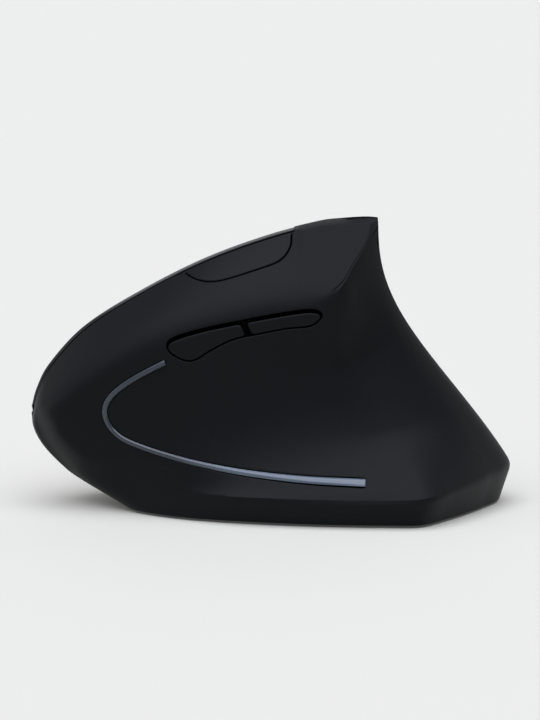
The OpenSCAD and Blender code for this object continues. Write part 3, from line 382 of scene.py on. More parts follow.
class Body:
    """Guide lines and faces of the mouse in millimetres; u runs from nose to rear and v upwards."""

    def __init__(self, size):
        self.size = size
        self.scale = np.array((size["length"] / DRAWN_LENGTH, 1.0, size["height"] / DRAWN_HEIGHT))
        self.nose_foot = self.foot(-1, np.array(0.0))
        self.rear_foot = self.foot(-1, np.array(1.0))
        self.nose_tip = self.ridge(np.array(0.0))
        self.peak = self.ridge(np.array(1.0))
        self.corner = self.crease(np.array(1.0))

    def guide(self, points, u, square=False):
        last = len(STATIONS) - 1
        i = np.clip(np.searchsorted(STATIONS, u, side="right") - 1, 0, last - 1)
        before = np.maximum(np.arange(last + 1) - 1, 0)
        after = np.minimum(np.arange(last + 1) + 1, last)
        slopes = (points[after] - points[before]) / (STATIONS[after] - STATIONS[before])[:, None]
        if square:
            slopes[[0, last]] *= (0, 1, 0)
        h = (STATIONS[i + 1] - STATIONS[i])[..., None]
        t = (u - STATIONS[i])[..., None] / h
        bend = slopes[i] * t * (1 - t) ** 2 + slopes[i + 1] * t * t * (t - 1)
        return (lerp(points[i], points[i + 1], t * t * (3 - 2 * t)) + h * bend) * self.scale

    def crest(self, u):
        return self.guide(RIDGE, u)

    def ridge(self, u):
        """The crest, laid back so that the top of the keys turns to the light."""
        back = self.size["lip_back"] * ramp(u, LIP_GROWS) * (1 - ramp(u, LIP_FADES))
        return self.crest(u) + vectors(0.0, back, -LIP_FALL * back)

    def crease(self, u):
        return self.guide(CREASE, u)

    def foot(self, side, u):
        p = self.guide(THUMB_FOOT if side < 0 else FINGER_FOOT, u, True)
        lift = self.size["foot_height"] + self.size["rear_lift"] * ramp(u, FOOT_LIFTS)
        return vectors(p[..., 0], p[..., 1], lift)

    def inward(self, side, u):
        d = self.foot(side, np.minimum(u + TINY, 1)) - self.foot(side, np.maximum(u - TINY, 0))
        n = unit(vectors(side * d[..., 1], -side * d[..., 0], 0.0))
        n[u < TINY / 2] = (1, 0, 0)
        n[u > 1 - TINY / 2] = (-1, 0, 0)
        return n

    def edge(self, side, u):
        p = self.foot(side, u)
        start = CHIN_X * self.scale[0]
        back = np.maximum((start - p[..., 0]) / (start - self.nose_foot[0]), 0) ** 2
        q = p + self.inward(side, u) * self.size["side_inset"]
        return vectors(q[..., 0] + self.size["chin_inset"] * back, q[..., 1], self.size["glide"])

    def rim(self, u):
        d = self.crest(np.minimum(u + TINY, 1)) - self.crest(np.maximum(u - TINY, 0))
        n = unit(vectors(d[..., 2], 0.0, -d[..., 0]))
        share = lerp(FRONT_RIM, 1, ramp(u, RIM_WIDENS))
        for away, (least, growth) in ((u, RIM_NOSE), (1 - u, RIM_REAR)):
            share = np.minimum(share, least + away / growth)
        drop, reach = self.size["rim_drop"], self.size["rim_reach"]
        return self.crest(u) + share[..., None] * vectors(n[..., 0] * drop, -reach, n[..., 2] * drop)

    def end_line(self, z, low, high, bow, power):
        s = np.clip((z - low[2]) / (high[2] - low[2]), 0, 1)
        x = lerp(low[0], high[0], s) - bow * np.sin(np.pi * s ** power)
        return vectors(x, lerp(low[1], high[1], s), z)

    def end_shift(self, u, v, nose_top, rear_top):
        a = lerp(self.nose_foot, nose_top, v[..., None])
        b = lerp(self.rear_foot, rear_top, v[..., None])
        nose = self.end_line(a[..., 2], self.nose_foot, self.nose_tip, self.size["nose_round"], 1) - a
        rear = self.rear_line(b[..., 2]) - b
        return (1 - ramp(u, NOSE_FADES))[..., None] * nose + self.rear_part(u)[..., None] * rear

    def rear_line(self, z):
        """Rear end of both sides: a bowed line up to the crease, then the edge of the facet."""
        low = self.end_line(z, self.rear_foot, self.corner, self.size["rear_hollow"], HOLLOW_POWER)
        up = np.clip((z - self.corner[2]) / (self.peak[2] - self.corner[2]), 0, 1)[..., None]
        return low + up * (self.peak - self.corner) * (1, 1, 0)

    def rear_part(self, u):
        return ramp(u, REAR_GROWS)

    def band(self, side, u, v):
        return lerp(self.edge(side, u), self.foot(side, u), v[..., None])

    def scoop(self, u, v):
        grown = lerp(ramp(u, SCOOP_DEEPENS), ramp(u, SCOOP_STARTS), SCOOP_EARLY)
        start = (1 - self.rear_part(u)) * grown
        depth = self.size["scoop_depth"] * start * np.sin(np.pi * v ** SCOOP_POWER)
        ends = self.end_shift(u, v, self.crease(np.array(0.0)), self.corner)
        ease = self.guide(REAR_EASE, u) * (ramp(v, EASE_GROWS) * (1 - ramp(v, EASE_FADES)))[..., None]
        hollow = vectors(0.0, depth, 0.0)
        return lerp(self.foot(-1, u), self.crease(u), v[..., None]) + ends + hollow + ease

    def facet(self, u, v):
        a, b = self.crease(u), self.rim(u)
        out = unit(vectors(0.0, a[..., 2] - b[..., 2], b[..., 1] - a[..., 1]))
        bow = self.size["facet_bow"] * (1 - ramp(u, BOW_FADES)) * ramp(u, BOW_GROWS) * np.sin(np.pi * v)
        return lerp(a, b, v[..., None]) + bow[..., None] * out

    def lip(self, u, v):
        a, b, t = self.rim(u), self.ridge(u), v[..., None]
        across, up = LIP_TURN
        m = vectors(b[..., 0], lerp(a[..., 1], b[..., 1], across), lerp(a[..., 2], b[..., 2], up))
        return lerp(lerp(a, m, t), lerp(m, b, t), t)

    def face(self, u, v):
        a, b = self.foot(1, u), self.ridge(u)
        d = b - a
        n = unit(vectors(0.0, d[..., 2], -d[..., 1]))
        along = (1 - self.rear_part(u)) * np.sin(np.pi / 2 * np.minimum(u / FACE_BOW_FULL, 1))
        bow = along * np.sin(np.pi * v)
        ends = self.end_shift(u, v, self.nose_tip, self.peak)
        return lerp(a, b, v[..., None]) + ends + self.size["face_bulge"] * bow[..., None] * n

    def facet_top(self, u):
        """Share of the facet that ends one key gap short of the rim."""
        return 1 - self.size["key_gap"] / np.linalg.norm(self.rim(u) - self.crease(u), axis=-1)

    def half_gap(self, u):
        return self.size["key_gap"] / 2 / np.linalg.norm(self.ridge(u) - self.foot(1, u), axis=-1)


class Sheet:
    """A grid of surface points with its outward normals, addressed by column and row numbers."""

    def __init__(self, columns, points, outward):
        self.columns = columns
        self.points = points
        normals = outward * np.cross(np.gradient(points, axis=0), np.gradient(points, axis=1))
        self.normals = unit(normals)
        self.pitch = np.array([
            np.linalg.norm(np.diff(points, axis=axis), axis=-1).mean() for axis in (0, 1)])

    def at(self, grid, place):
        """Values of a grid at column and row numbers, with straight lines between its points."""
        top = np.array(grid.shape[:2]) - 1
        p = np.clip(place, 0, top)
        i = np.minimum(p.astype(int), top - 1)
        t = p - i
        a, b = i[..., 0], i[..., 1]
        s, r = t[..., 0, None], t[..., 1, None]
        return lerp(lerp(grid[a, b], grid[a + 1, b], s), lerp(grid[a, b + 1], grid[a + 1, b + 1], s), r)

    def place(self, u, row):
        """Column and row numbers from u and a row number."""
        column = np.interp(u, self.columns, np.arange(len(self.columns)))
        return np.stack(np.broadcast_arrays(column, row), -1)

    def find(self, target, project, rounds=14, longest=4):
        """Column and row numbers of the surface points whose projection is the target."""
        seen = project(self.points)
        flat = seen.reshape(-1, 2)
        near = [int(np.argmin(((flat - t) ** 2).sum(1))) for t in target]
        place = np.stack(np.unravel_index(near, seen.shape[:2]), -1).astype(float)
        for _ in range(rounds):
            miss = target - self.at(seen, place)
            steps = []
            for axis in (0, 1):
                h = np.zeros(2)
                h[axis] = 0.5
                steps.append(self.at(seen, place + h) - self.at(seen, place - h))
            (ax, ay), (bx, by) = (np.moveaxis(s, -1, 0) for s in steps)
            det = ax * by - bx * ay
            det = np.where(np.abs(det) < 1e-9, 1e-9, det)
            move = np.stack([(miss[:, 0] * by - miss[:, 1] * bx) / det,
                             (ax * miss[:, 1] - ay * miss[:, 0]) / det], -1)
            place = np.clip(place + np.clip(move, -longest, longest), 0, np.array(seen.shape[:2]) - 1)
        return place


def body_columns(first=0.0, last=1.0, count=COLUMNS):
    """Values of u that lie closer together towards both ends."""
    t = np.linspace(0, 1, count)
    return lerp(first, last, lerp(t, (1 - np.cos(np.pi * t)) / 2, CROWDING))


def relax(points, middle, reach, rounds, share, pull=0.9):
    """Rounds the crease along one row of a grid, by a share for each column."""
    rows = np.arange(points.shape[1])
    weight = np.clip(1 - np.abs(rows - middle) / (reach + 1), 0, 1)[None, :, None]
    weight = np.minimum(2 * weight, 1) * share[:, None, None]
    for _ in range(rounds):
        mean = points.copy()
        mean[:, 1:-1] = (points[:, :-2] + points[:, 2:]) / 2
        points = lerp(points, mean, weight * pull)
    return points


def roll_nose(points, u, width, depth):
    """Turns the thumb side away along the nose and the front of the foot line, as a soft band."""
    crease = BAND_ROWS + SCOOP_ROWS
    border = np.vstack([points[0, crease:BAND_ROWS:-2], points[u < NOSE_BORDER, BAND_ROWS]])
    ends = border[:, [0, 2]]
    strength = 1 - ramp(border[:, 0], NOSE_BAND_X)
    strength *= lerp(NOSE_BAND_LOW, 1, ramp(border[:, 2], NOSE_BAND_Z))
    a, run = ends[:-1], np.diff(ends, axis=0)
    area = points[:, BAND_ROWS:crease + FACET_ROWS]
    spots = area[..., [0, 2]].reshape(-1, 1, 2)
    t = np.clip(((spots - a) * run).sum(-1) / np.maximum((run ** 2).sum(-1), 1e-9), 0, 1)
    away = np.linalg.norm(spots - a - t[..., None] * run, axis=-1)
    near = away.argmin(1)
    rows = np.arange(len(near))
    shift = depth * strength[near] * np.clip(1 - away[rows, near] / width, 0, 1) ** NOSE_BAND_POWER
    shift = shift.reshape(area.shape[:2]) * ramp(u, NOSE_BAND_STARTS)[:, None]
    rise = (np.arange(area.shape[1]) - SCOOP_ROWS) / FACET_ROWS
    shift = shift * (1 - ramp(rise, NOSE_BAND_TOP))[None]
    for _ in range(NOSE_BAND_BLUR):
        wide = np.pad(shift, 1, mode="edge")
        shift = shift / 2 + (wide[:-2, 1:-1] + wide[2:, 1:-1] + wide[1:-1, :-2] + wide[1:-1, 2:]) / 8
    moved = points.copy()
    moved[:, BAND_ROWS:crease + FACET_ROWS] += shift[..., None] * TURN_AWAY
    below = shift[:, :1] * np.linspace(0, 1, BAND_ROWS, endpoint=False)
    moved[:, :BAND_ROWS] += below[..., None] * TURN_AWAY
    return moved


def rows_of(surface, u, count, whole=False):
    """Rows of points over a surface, from its foot upwards; only a whole one has the top row too."""
    return [surface(u, np.full_like(u, v)) for v in np.linspace(0, 1, count + whole, endpoint=whole)]


def thumb_sheet(body):
    """Band, scoop, facet and lip of the thumb side as one surface with softened creases."""
    u = body_columns()
    rows = rows_of(lambda u, v: body.band(-1, u, v), u, BAND_ROWS)
    rows += rows_of(body.scoop, u, SCOOP_ROWS) + rows_of(body.facet, u, FACET_ROWS)
    rows += rows_of(body.lip, u, LIP_ROWS, whole=True)
    points = roll_nose(np.stack(rows, 1), u, body.size["nose_band"], body.size["nose_roll"])
    points = relax(points, BAND_ROWS, reach=12, rounds=90, share=1 - ramp(u, CHIN_SHARPENS))
    points = relax(points, BAND_ROWS, reach=1, rounds=2, share=np.ones_like(u))
    soft = (1 - ramp(u, CREASE_SHARPENS)) * ramp(u, CREASE_SOFTENS)
    points = relax(points, BAND_ROWS + SCOOP_ROWS, reach=8, rounds=36, share=soft)
    points[:, BAND_ROWS + SCOOP_ROWS] += CREASE_LINE * ramp(u, CREASE_LINE_GROWS)[:, None]
    points = points - (0, body.size["seam_gap"] / 2, 0)
    return Sheet(u, points, 1)


def finger_sheet(body):
    """Band and face of the finger side."""
    u = body_columns()
    rows = rows_of(lambda u, v: body.band(1, u, v), u, BAND_ROWS)
    rows += rows_of(body.face, u, FACE_ROWS, whole=True)
    points = relax(np.stack(rows, 1), BAND_ROWS, reach=4, rounds=16, share=np.ones_like(u))
    return Sheet(u, points + (0, body.size["seam_gap"] / 2, 0), -1)


def key_sheet(body):
    """Finger face from the lower key line over the ridge down to the rim."""
    u = body_columns(0, NOTCH, KEY_COLUMNS)
    rows = rows_of(body.face, u, FACE_ROWS) + rows_of(body.lip, u, LIP_ROWS, whole=True)[::-1]
    points = relax(np.stack(rows, 1), FACE_ROWS, reach=1, rounds=3, share=np.ones_like(u))
    shift = body.size["seam_gap"] / 2 + body.size["nose_gap"] * np.maximum(0, 1 - u / NOSE_GAP_END)
    return Sheet(u, points + vectors(0.0, shift, 0.0)[:, None], -1)


def spline(before, start, end, after, steps):
    """Points of a smooth line from each start towards its end, led by the points before and after."""
    t = np.linspace(0, 1, steps, endpoint=False)[None, :, None]
    a, b, c, d = (p[:, None] for p in (before, start, end, after))
    curve = b + 0.5 * t * (c - a + t * (2 * a - 5 * b + 4 * c - d + t * (3 * (b - c) + d - a)))
    return curve.reshape(-1, 2)


def loop_curve(points, steps):
    """Smooth closed line through a few points."""
    return spline(np.roll(points, 1, 0), points, np.roll(points, -1, 0), np.roll(points, -2, 0), steps)


def open_curve(points, steps):
    """Smooth open line through a few points."""
    p = np.vstack([2 * points[0] - points[1], points, 2 * points[-1] - points[-2]])
    return np.vstack([spline(p[:-3], p[1:-2], p[2:-1], p[3:], steps), points[-1:]])


def resampled(loop, pitch):
    """A closed line with evenly spaced points."""
    closed = np.vstack([loop, loop[:1]])
    run = np.concatenate([[0], np.cumsum(np.linalg.norm(np.diff(closed, axis=0), axis=1))])
    count = max(int(run[-1] / pitch), 12)
    at = np.linspace(0, run[-1], count, endpoint=False)
    return np.stack([np.interp(at, run, closed[:, k]) for k in (0, 1)], -1)


def rounded(loop, rounds):
    """Takes the sharpness off a closed line's corners."""
    for _ in range(rounds):
        loop = loop / 2 + (np.roll(loop, 1, 0) + np.roll(loop, -1, 0)) / 4
    return loop


def side_normals(loop):
    """Outward directions of a closed line."""
    d = np.roll(loop, -1, 0) - np.roll(loop, 1, 0)
    n = unit(np.stack([d[:, 1], -d[:, 0]], -1))
    area = (loop[:, 0] * np.roll(loop[:, 1], -1) - loop[:, 1] * np.roll(loop[:, 0], -1)).sum()
    return n if area > 0 else -n


def shrunk(loop, amount):
    """A closed line moved inwards."""
    return loop - side_normals(loop) * np.broadcast_to(amount, len(loop))[:, None]


def clipped(loop, origin, direction):
    """The part of a closed line on the side of a straight line that direction points to."""
    side = (loop - origin) @ direction
    kept = []
    for i, point in enumerate(loop):
        j = (i + 1) % len(loop)
        if side[i] >= 0:
            kept.append(point)
        if (side[i] >= 0) != (side[j] >= 0):
            kept.append(lerp(point, loop[j], side[i] / (side[i] - side[j])))
    return np.array(kept)


def inside(points, loop):
    """Which points lie inside a closed line."""
    x, y = points[:, 0], points[:, 1]
    odd = np.zeros(len(points), bool)
    for a, b in zip(loop, np.roll(loop, -1, 0)):
        crosses = (a[1] > y) != (b[1] > y)
        at = a[0] + (y - a[1]) * (b[0] - a[0]) / np.where(b[1] == a[1], 1e-12, b[1] - a[1])
        odd ^= crosses & (x < at)
    return odd


def far_from(points, loops, distance):
    """Which points keep a distance from all the lines' points."""
    far = np.ones(len(points), bool)
    for spot in np.vstack(loops):
        far &= ((points - spot) ** 2).sum(1) > distance ** 2
    return far


def within(points, loops):
    """Which points lie inside the first closed line and outside the others."""
    kept = inside(points, loops[0])
    for hole in loops[1:]:
        kept &= ~inside(points, hole)
    return kept


def trimmed(sheet, outer, holes=(), edge_pitch=0.9, clear=0.45):
    """Triangles of a sheet inside one closed line and outside others, all in column and row numbers."""
    pitch = sheet.pitch
    loops = [resampled(loop * pitch, edge_pitch * pitch.min()) for loop in (outer, *holes)]
    a, b = np.meshgrid(*(np.arange(n) for n in sheet.points.shape[:2]), indexing="ij")
    grid = np.stack([a.ravel(), b.ravel()], -1) * pitch
    grid = grid[within(grid, loops)]
    grid = grid[far_from(grid, loops, clear * pitch.min())]
    edges, start = [], 0
    for loop in loops:
        n = len(loop)
        edges += [(start + k, start + (k + 1) % n) for k in range(n)]
        start += n
    spots = np.vstack([*loops, grid])
    found = delaunay_2d_cdt([Vector(p) for p in spots], edges, [], 0, 1e-7)
    spots = np.array([tuple(p) for p in found[0]])
    triangles = np.array([f for f in found[2] if len(f) == 3])
    triangles = triangles[within(spots[triangles].mean(1), loops)]
    used = np.unique(triangles)
    renumber = np.zeros(len(spots), int)
    renumber[used] = np.arange(len(used))
    return spots[used] / pitch, renumber[triangles]


def rolled_solid(points, normals, triangles, wall, roll, rows=3, least_spread=0.6):
    """Closed solid under a trimmed sheet, with its outer edges rolled over and a straight wall below."""
    face = np.cross(points[triangles[:, 1]] - points[triangles[:, 0]],
                    points[triangles[:, 2]] - points[triangles[:, 0]])
    wrong = (face * normals[triangles[:, 0]]).sum(1) < 0
    triangles[wrong] = triangles[wrong][:, ::-1]
    half = np.vstack([triangles[:, [0, 1]], triangles[:, [1, 2]], triangles[:, [2, 0]]])
    code = half[:, 0] * len(points) + half[:, 1]
    border = half[~np.isin(code, half[:, 1] * len(points) + half[:, 0])]
    out = np.zeros_like(points)
    side = unit(np.cross(points[border[:, 1]] - points[border[:, 0]], normals[border[:, 0]]))
    np.add.at(out, border[:, 0], side)
    np.add.at(out, border[:, 1], side)
    ring = np.unique(border)
    spread = np.linalg.norm(out[ring], axis=1, keepdims=True) / 2
    direction = unit(out[ring]) / np.maximum(spread, least_spread)
    number = np.full(len(points), -1)
    number[ring] = np.arange(len(ring))
    layers = [points]
    for k in range(1, rows + 1):
        turn = math.pi / 2 * k / rows
        lowered = normals[ring] * roll * (1 - math.cos(turn))
        layers.append(points[ring] + direction * roll * math.sin(turn) - lowered)
    layers.append(points[ring] + direction * roll - normals[ring] * wall[ring])
    under = points - normals * wall
    verts = np.vstack([*layers, under])
    starts = np.cumsum([0] + [len(layer) for layer in layers])
    a, b = border[:, 0], border[:, 1]
    faces = [tuple(t) for t in triangles]
    upper = (a, b)
    for start in starts[1:-1]:
        lower = (start + number[a], start + number[b])
        faces += [tuple(q) for q in np.stack([upper[1], upper[0], lower[0], lower[1]], -1)]
        upper = lower
    # Faces after this count, the last wall ring and the underside, get the dark finish that paints shade
    # into the seams
    outer_face_count = len(faces) - len(border)
    low = starts[-1] + np.arange(len(points))
    low[ring] = starts[-2] + np.arange(len(ring))
    faces += [tuple(t) for t in low[triangles][:, ::-1]]
    return verts, faces, outer_face_count


def add_mesh(name, verts, faces, outer_face_count, material, sharp=34):
    """A smooth-shaded mesh object from points in millimetres; faces past the outer ones get a near-black,
    dull finish that paints shade into the walls of seams and gaps.
    """
    used = np.unique(np.concatenate([np.array(f) for f in faces]))
    renumber = np.zeros(len(verts), int)
    renumber[used] = np.arange(len(used))
    mesh = bpy.data.meshes.new(name)
    mesh.from_pydata((verts[used] / MM).tolist(), [], [renumber[list(f)].tolist() for f in faces])
    mesh.polygons.foreach_set("material_index", (np.arange(len(faces)) >= outer_face_count).astype(np.int32))
    mesh.validate()
    mesh.shade_smooth()
    mesh.set_sharp_from_angle(angle=math.radians(sharp))
    mesh.materials.append(material)
    # Second slot: painted shade for the walls of seams and gaps
    mesh.materials.append(finish("seam_shade_black"))
    piece = bpy.data.objects.new(name, mesh)
    bpy.context.scene.collection.objects.link(piece)
    return piece


def panel(name, sheet, outer, holes, size, material, roll=None, raised=0.0, corner=None, thin=None):
    """A trimmed and rolled panel of a sheet, which gets thin towards a sharp corner or between two rows."""
    places, triangles = trimmed(sheet, outer, holes)
    normals = unit(sheet.at(sheet.normals, places))
    points = sheet.at(sheet.points, places) + normals * raised
    wall = np.full((len(points), 1), size["wall"])
    if corner is not None:
        away = np.linalg.norm(points - corner, axis=1, keepdims=True)
        wall *= lerp(CORNER_WALL, 1, ramp(away, CORNER_THICKENS))
    if thin is not None:
        wall *= lerp(1, SEAM_WALL, ramp(places[:, 1:], (thin[0], thin[1] - thin[0])))
    solid = rolled_solid(points, normals, triangles, wall, roll or size["edge_roll"])
    return add_mesh(name, *solid, material)


def settle(piece, body, nodes):
    """Lets a piece ride on a body in place of CAD nodes."""
    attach(piece, body)
    if nodes:
        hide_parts(*nodes)


def line(a, b, count=60):
    return np.stack([np.linspace(a[0], b[0], count), np.linspace(a[1], b[1], count)], -1)


# Materials


def new_material(name):
    material = bpy.data.materials.new(name)
    material.use_nodes = True
    return material, material.node_tree, material.node_tree.nodes["Principled BSDF"]


def add_node(tree, kind, values, sources, **settings):
    """A shader node with its settings, the values of its sockets and what its sockets are linked to."""
    node = tree.nodes.new("ShaderNode" + kind)
    for setting, value in settings.items():
        setattr(node, setting, value)
    for socket, value in values.items():
        node.inputs[socket].default_value = value
    for socket, source in sources.items():
        tree.links.new(source, node.inputs[socket])
    return node


def shaded(colour, gain):
    return (*[min(c * gain, 1) for c in colour], 1)


def moulded(name, colour, rough, grain=0.06, spread=0.12, speck=0.0, specular=0.5, sheen=0.0, painted_light_x=None):
    """Moulded plastic: cloudy tone, grained roughness, fine bump, a few specks, and an optional ramp along
    x that paints light and shade into the tone.
    """
    material, tree, shader = new_material(name)
    place = add_node(tree, "TexCoord", {}, {}).outputs["Object"]
    cloud = add_node(tree, "TexNoise", {"Scale": 45, "Detail": 4}, {"Vector": place}).outputs["Fac"]
    fine = add_node(tree, "TexNoise", {"Scale": 5200, "Detail": 2}, {"Vector": place}).outputs["Fac"]
    tones = {"A": shaded(colour, 0.9), "B": shaded(colour, 1.1)}
    base = add_node(tree, "Mix", tones, {"Factor": cloud}, data_type="RGBA").outputs["Result"]
    if speck:
        dots = add_node(tree, "TexVoronoi", {"Scale": 1300}, {"Vector": place}).outputs["Distance"]
        bright = add_node(tree, "MapRange", {"From Min": 0.1, "From Max": 0.03}, {"Value": dots})
        fleck = add_node(tree, "Mix", {"B": shaded(colour, speck)},
                         {"Factor": bright.outputs["Result"], "A": base}, data_type="RGBA")
        base = fleck.outputs["Result"]
    # Painted light: the tone is scaled along x, darker where shade is painted and lighter where a highlight
    # is painted
    if painted_light_x:
        along = add_node(tree, "SeparateXYZ", {}, {"Vector": place}).outputs["X"]
        ends = dict(zip(("From Min", "From Max", "To Min", "To Max"), painted_light_x))
        gain = add_node(tree, "MapRange", ends, {"Value": along}).outputs["Result"]
        painted_highlight_tone = add_node(tree, "VectorMath", {}, {0: base, "Scale": gain}, operation="SCALE")
        base = painted_highlight_tone.outputs["Vector"]
    tree.links.new(base, shader.inputs["Base Color"])
    mixed = add_node(tree, "Math", {}, {0: cloud, 1: fine}, operation="MULTIPLY").outputs["Value"]
    ends = {"From Min": 0.1, "From Max": 0.45, "To Min": rough - spread / 2, "To Max": rough + spread / 2}
    shine = add_node(tree, "MapRange", ends, {"Value": mixed})
    tree.links.new(shine.outputs["Result"], shader.inputs["Roughness"])
    bump = add_node(tree, "Bump", {"Strength": grain, "Distance": 0.00012}, {"Height": fine})
    tree.links.new(bump.outputs["Normal"], shader.inputs["Normal"])
    shader.inputs["Specular IOR Level"].default_value = specular
    shader.inputs["Sheen Weight"].default_value = sheen
    return material


def plated(name, colour, rough):
    """Bare or plated metal with fine drawn lines."""
    material, tree, shader = new_material(name)
    place = add_node(tree, "TexCoord", {}, {}).outputs["Object"]
    drawn = add_node(tree, "Mapping", {"Scale": (300, 4000, 4000)}, {"Vector": place}).outputs["Vector"]
    grain = add_node(tree, "TexNoise", {"Scale": 1}, {"Vector": drawn}).outputs["Fac"]
    tones = {"A": shaded(colour, 0.85), "B": shaded(colour, 1)}
    tone = add_node(tree, "Mix", tones, {"Factor": grain}, data_type="RGBA")
    tree.links.new(tone.outputs["Result"], shader.inputs["Base Color"])
    shine = add_node(tree, "MapRange", {"To Min": rough * 0.7, "To Max": rough * 1.3}, {"Value": grain})
    tree.links.new(shine.outputs["Result"], shader.inputs["Roughness"])
    shader.inputs["Metallic"].default_value = 1
    return material


def finish(name):
    """The named finish, made once."""
    made = "finish_" + name
    if made in bpy.data.materials:
        return bpy.data.materials[made]
    colours = bpy.context.scene.mouse_colours
    # The strip's tone darkens towards the nose and brightens towards the rear: painted shade at the front
    # and a painted highlight where its bead faces the light
    strip_painted_highlight = (-0.024, -0.01, 0.6, 1.7)
    recipes = {
        "soft_black": lambda: moulded(made, colours.soft_black, 0.46, 0.05, 0.1, 5.0, 0.08, 0.02),
        "key_black": lambda: moulded(made, colours.key_black, 0.38, 0.05, 0.1, 4.0, 0.3),
        "button_black": lambda: moulded(made, colours.button_black, 0.44, 0.06, 0.1, 4.0, 0.09),
        "accent": lambda: moulded(made, colours.accent, 0.15, 0.02, 0.06, painted_light_x=strip_painted_highlight),
        # Near-black, dull finish for panel walls, undersides and flanges: painted shade in the seams and
        # gaps
        "seam_shade_black": lambda: moulded(made, (0.002, 0.002, 0.0022), 0.7, 0.05, 0.1, 0, 0.02),
        "base_black": lambda: moulded(made, colours.base_black, 0.55, 0.12, 0.15),
        "glide": lambda: moulded(made, (0.5, 0.51, 0.52), 0.35, 0.03, 0.1),
        "grey_plastic": lambda: moulded(made, (0.25, 0.26, 0.28), 0.4, 0.05, 0.1),
        "switch_black": lambda: moulded(made, (0.02, 0.02, 0.022), 0.4, 0.05, 0.1),
        "frame_grey": lambda: moulded(made, (0.05, 0.053, 0.057), 0.5, 0.1, 0.12),
        "board_green": lambda: moulded(made, colours.board_green, 0.3, 0.03, 0.1),
        "rubber": lambda: moulded(made, (0.012, 0.012, 0.013), 0.7, 0.25, 0.15, 0, 0.35),
        "clear": lambda: moulded(made, (0.6, 0.72, 0.78), 0.08, 0.01, 0.04),
        "lamp_red": lambda: moulded(made, (0.4, 0.03, 0.025), 0.12, 0.01, 0.05),
        "wrap": lambda: moulded(made, (0.09, 0.095, 0.1), 0.25, 0.02, 0.06),
        "steel": lambda: plated(made, (0.62, 0.62, 0.63), 0.25),
        "nickel": lambda: plated(made, (0.7, 0.69, 0.66), 0.2),
    }
    return recipes[name]()


def dress(node, material, bevel=0.0):
    """Gives a CAD node its finish and softens its edges."""
    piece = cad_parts[node]
    piece.data.materials.clear()
    piece.data.materials.append(finish(material))
    weld = piece.modifiers.new("weld", "WELD")
    weld.merge_threshold = 1e-6
    if bevel:
        soft = piece.modifiers.new("edge", "BEVEL")
        soft.width = bevel
        soft.segments = 2
        soft.limit_method = "ANGLE"
        soft.angle_limit = math.radians(35)
        soft.harden_normals = True
    return piece


# Operators


class MOUSE_OT_stage(bpy.types.Operator):
    """Camera, floor and soft light"""
    bl_idname = "mouse.stage"
    bl_label = "Stage"

    def execute(self, context):
        stage = context.scene.mouse_stage
        aim = Vector(stage.aim)
        camera = bpy.data.objects.new("camera", bpy.data.cameras.new("camera"))
        context.scene.collection.objects.link(camera)
        away = Vector((0, -math.cos(stage.elevation), math.sin(stage.elevation)))
        camera.location = aim + away * stage.distance
        camera.rotation_euler = (-away).to_track_quat("-Z", "Y").to_euler()
        camera.data.lens = stage.lens
        camera.data.sensor_width = 36
        camera.data.sensor_fit = "AUTO"
        context.scene.camera = camera
        self.floor(context, stage)
        self.lights(context)
        context.scene.view_settings.view_transform = "Standard"
        return {"FINISHED"}

    def floor(self, context, stage):
        mesh = bpy.data.meshes.new("floor")
        corners = [(x * FLOOR_HALF, y * FLOOR_HALF, 0) for x, y in ((-1, -1), (1, -1), (1, 1), (-1, 1))]
        mesh.from_pydata(corners, [], [(0, 1, 2, 3)])
        floor = bpy.data.objects.new("floor", mesh)
        context.scene.collection.objects.link(floor)
        material, tree, shader = new_material("pale_floor")
        shader.inputs["Base Color"].default_value = (*stage.floor_tone, 1)
        shader.inputs["Roughness"].default_value = 0.9
        shader.inputs["Specular IOR Level"].default_value = 0.1
        shader.inputs["Emission Color"].default_value = (1, 1, 1, 1)
        shader.inputs["Emission Strength"].default_value = stage.floor_glow
        mesh.materials.append(material)

    def lights(self, context):
        """A sky of soft panels, so that the floor is lit evenly as far as the picture reaches."""
        world = bpy.data.worlds.new("studio")
        world.use_nodes = True
        tree = world.node_tree
        direction = add_node(tree, "TexCoord", {}, {}).outputs["Generated"]
        total = None
        for towards, start, full, tint, power in PANELS:
            facing = add_node(tree, "VectorMath", {1: Vector(towards).normalized()}, {0: direction},
                              operation="DOT_PRODUCT").outputs["Value"]
            first, last = (math.cos(math.radians(angle)) for angle in (start, full))
            soft = add_node(tree, "MapRange", {"From Min": first, "From Max": last, "To Max": power},
                            {"Value": facing}, interpolation_type="SMOOTHSTEP").outputs["Result"]
            glow = add_node(tree, "VectorMath", {0: tint}, {"Scale": soft}, operation="SCALE")
            if total is None:
                total = glow.outputs["Vector"]
            else:
                both = {0: total, 1: glow.outputs["Vector"]}
                total = add_node(tree, "VectorMath", {}, both, operation="ADD").outputs["Vector"]
        tree.links.new(total, tree.nodes["Background"].inputs["Color"])
        context.scene.world = world


def pocket_place(body):
    """Middle of the thumb pocket in x and z."""
    return from_side(body.scoop(*(np.array(v) for v in POCKET_PLACE)))


def pocket_loops(body):
    """The thumb pocket and its two buttons as closed lines in x and z."""
    size = body.size
    place = pocket_place(body)
    pocket = resampled(loop_curve(POCKET, 10), LINE_PITCH)
    up = np.maximum(side_normals(pocket)[:, 1], 0)
    inner = shrunk(pocket, size["button_gap"] + size["pocket_lip"] * up)
    half = SPLIT_ACROSS * size["button_split"] / 2
    forward = clipped(inner, SPLIT_AT - half, -SPLIT_ACROSS)
    back = clipped(inner, SPLIT_AT + half, SPLIT_ACROSS)
    buttons = [rounded(resampled(loop, BUTTON_PITCH), 6) for loop in (forward, back)]
    return [place + loop for loop in (pocket, *buttons)]


def from_side(points):
    return points[..., [0, 2]]


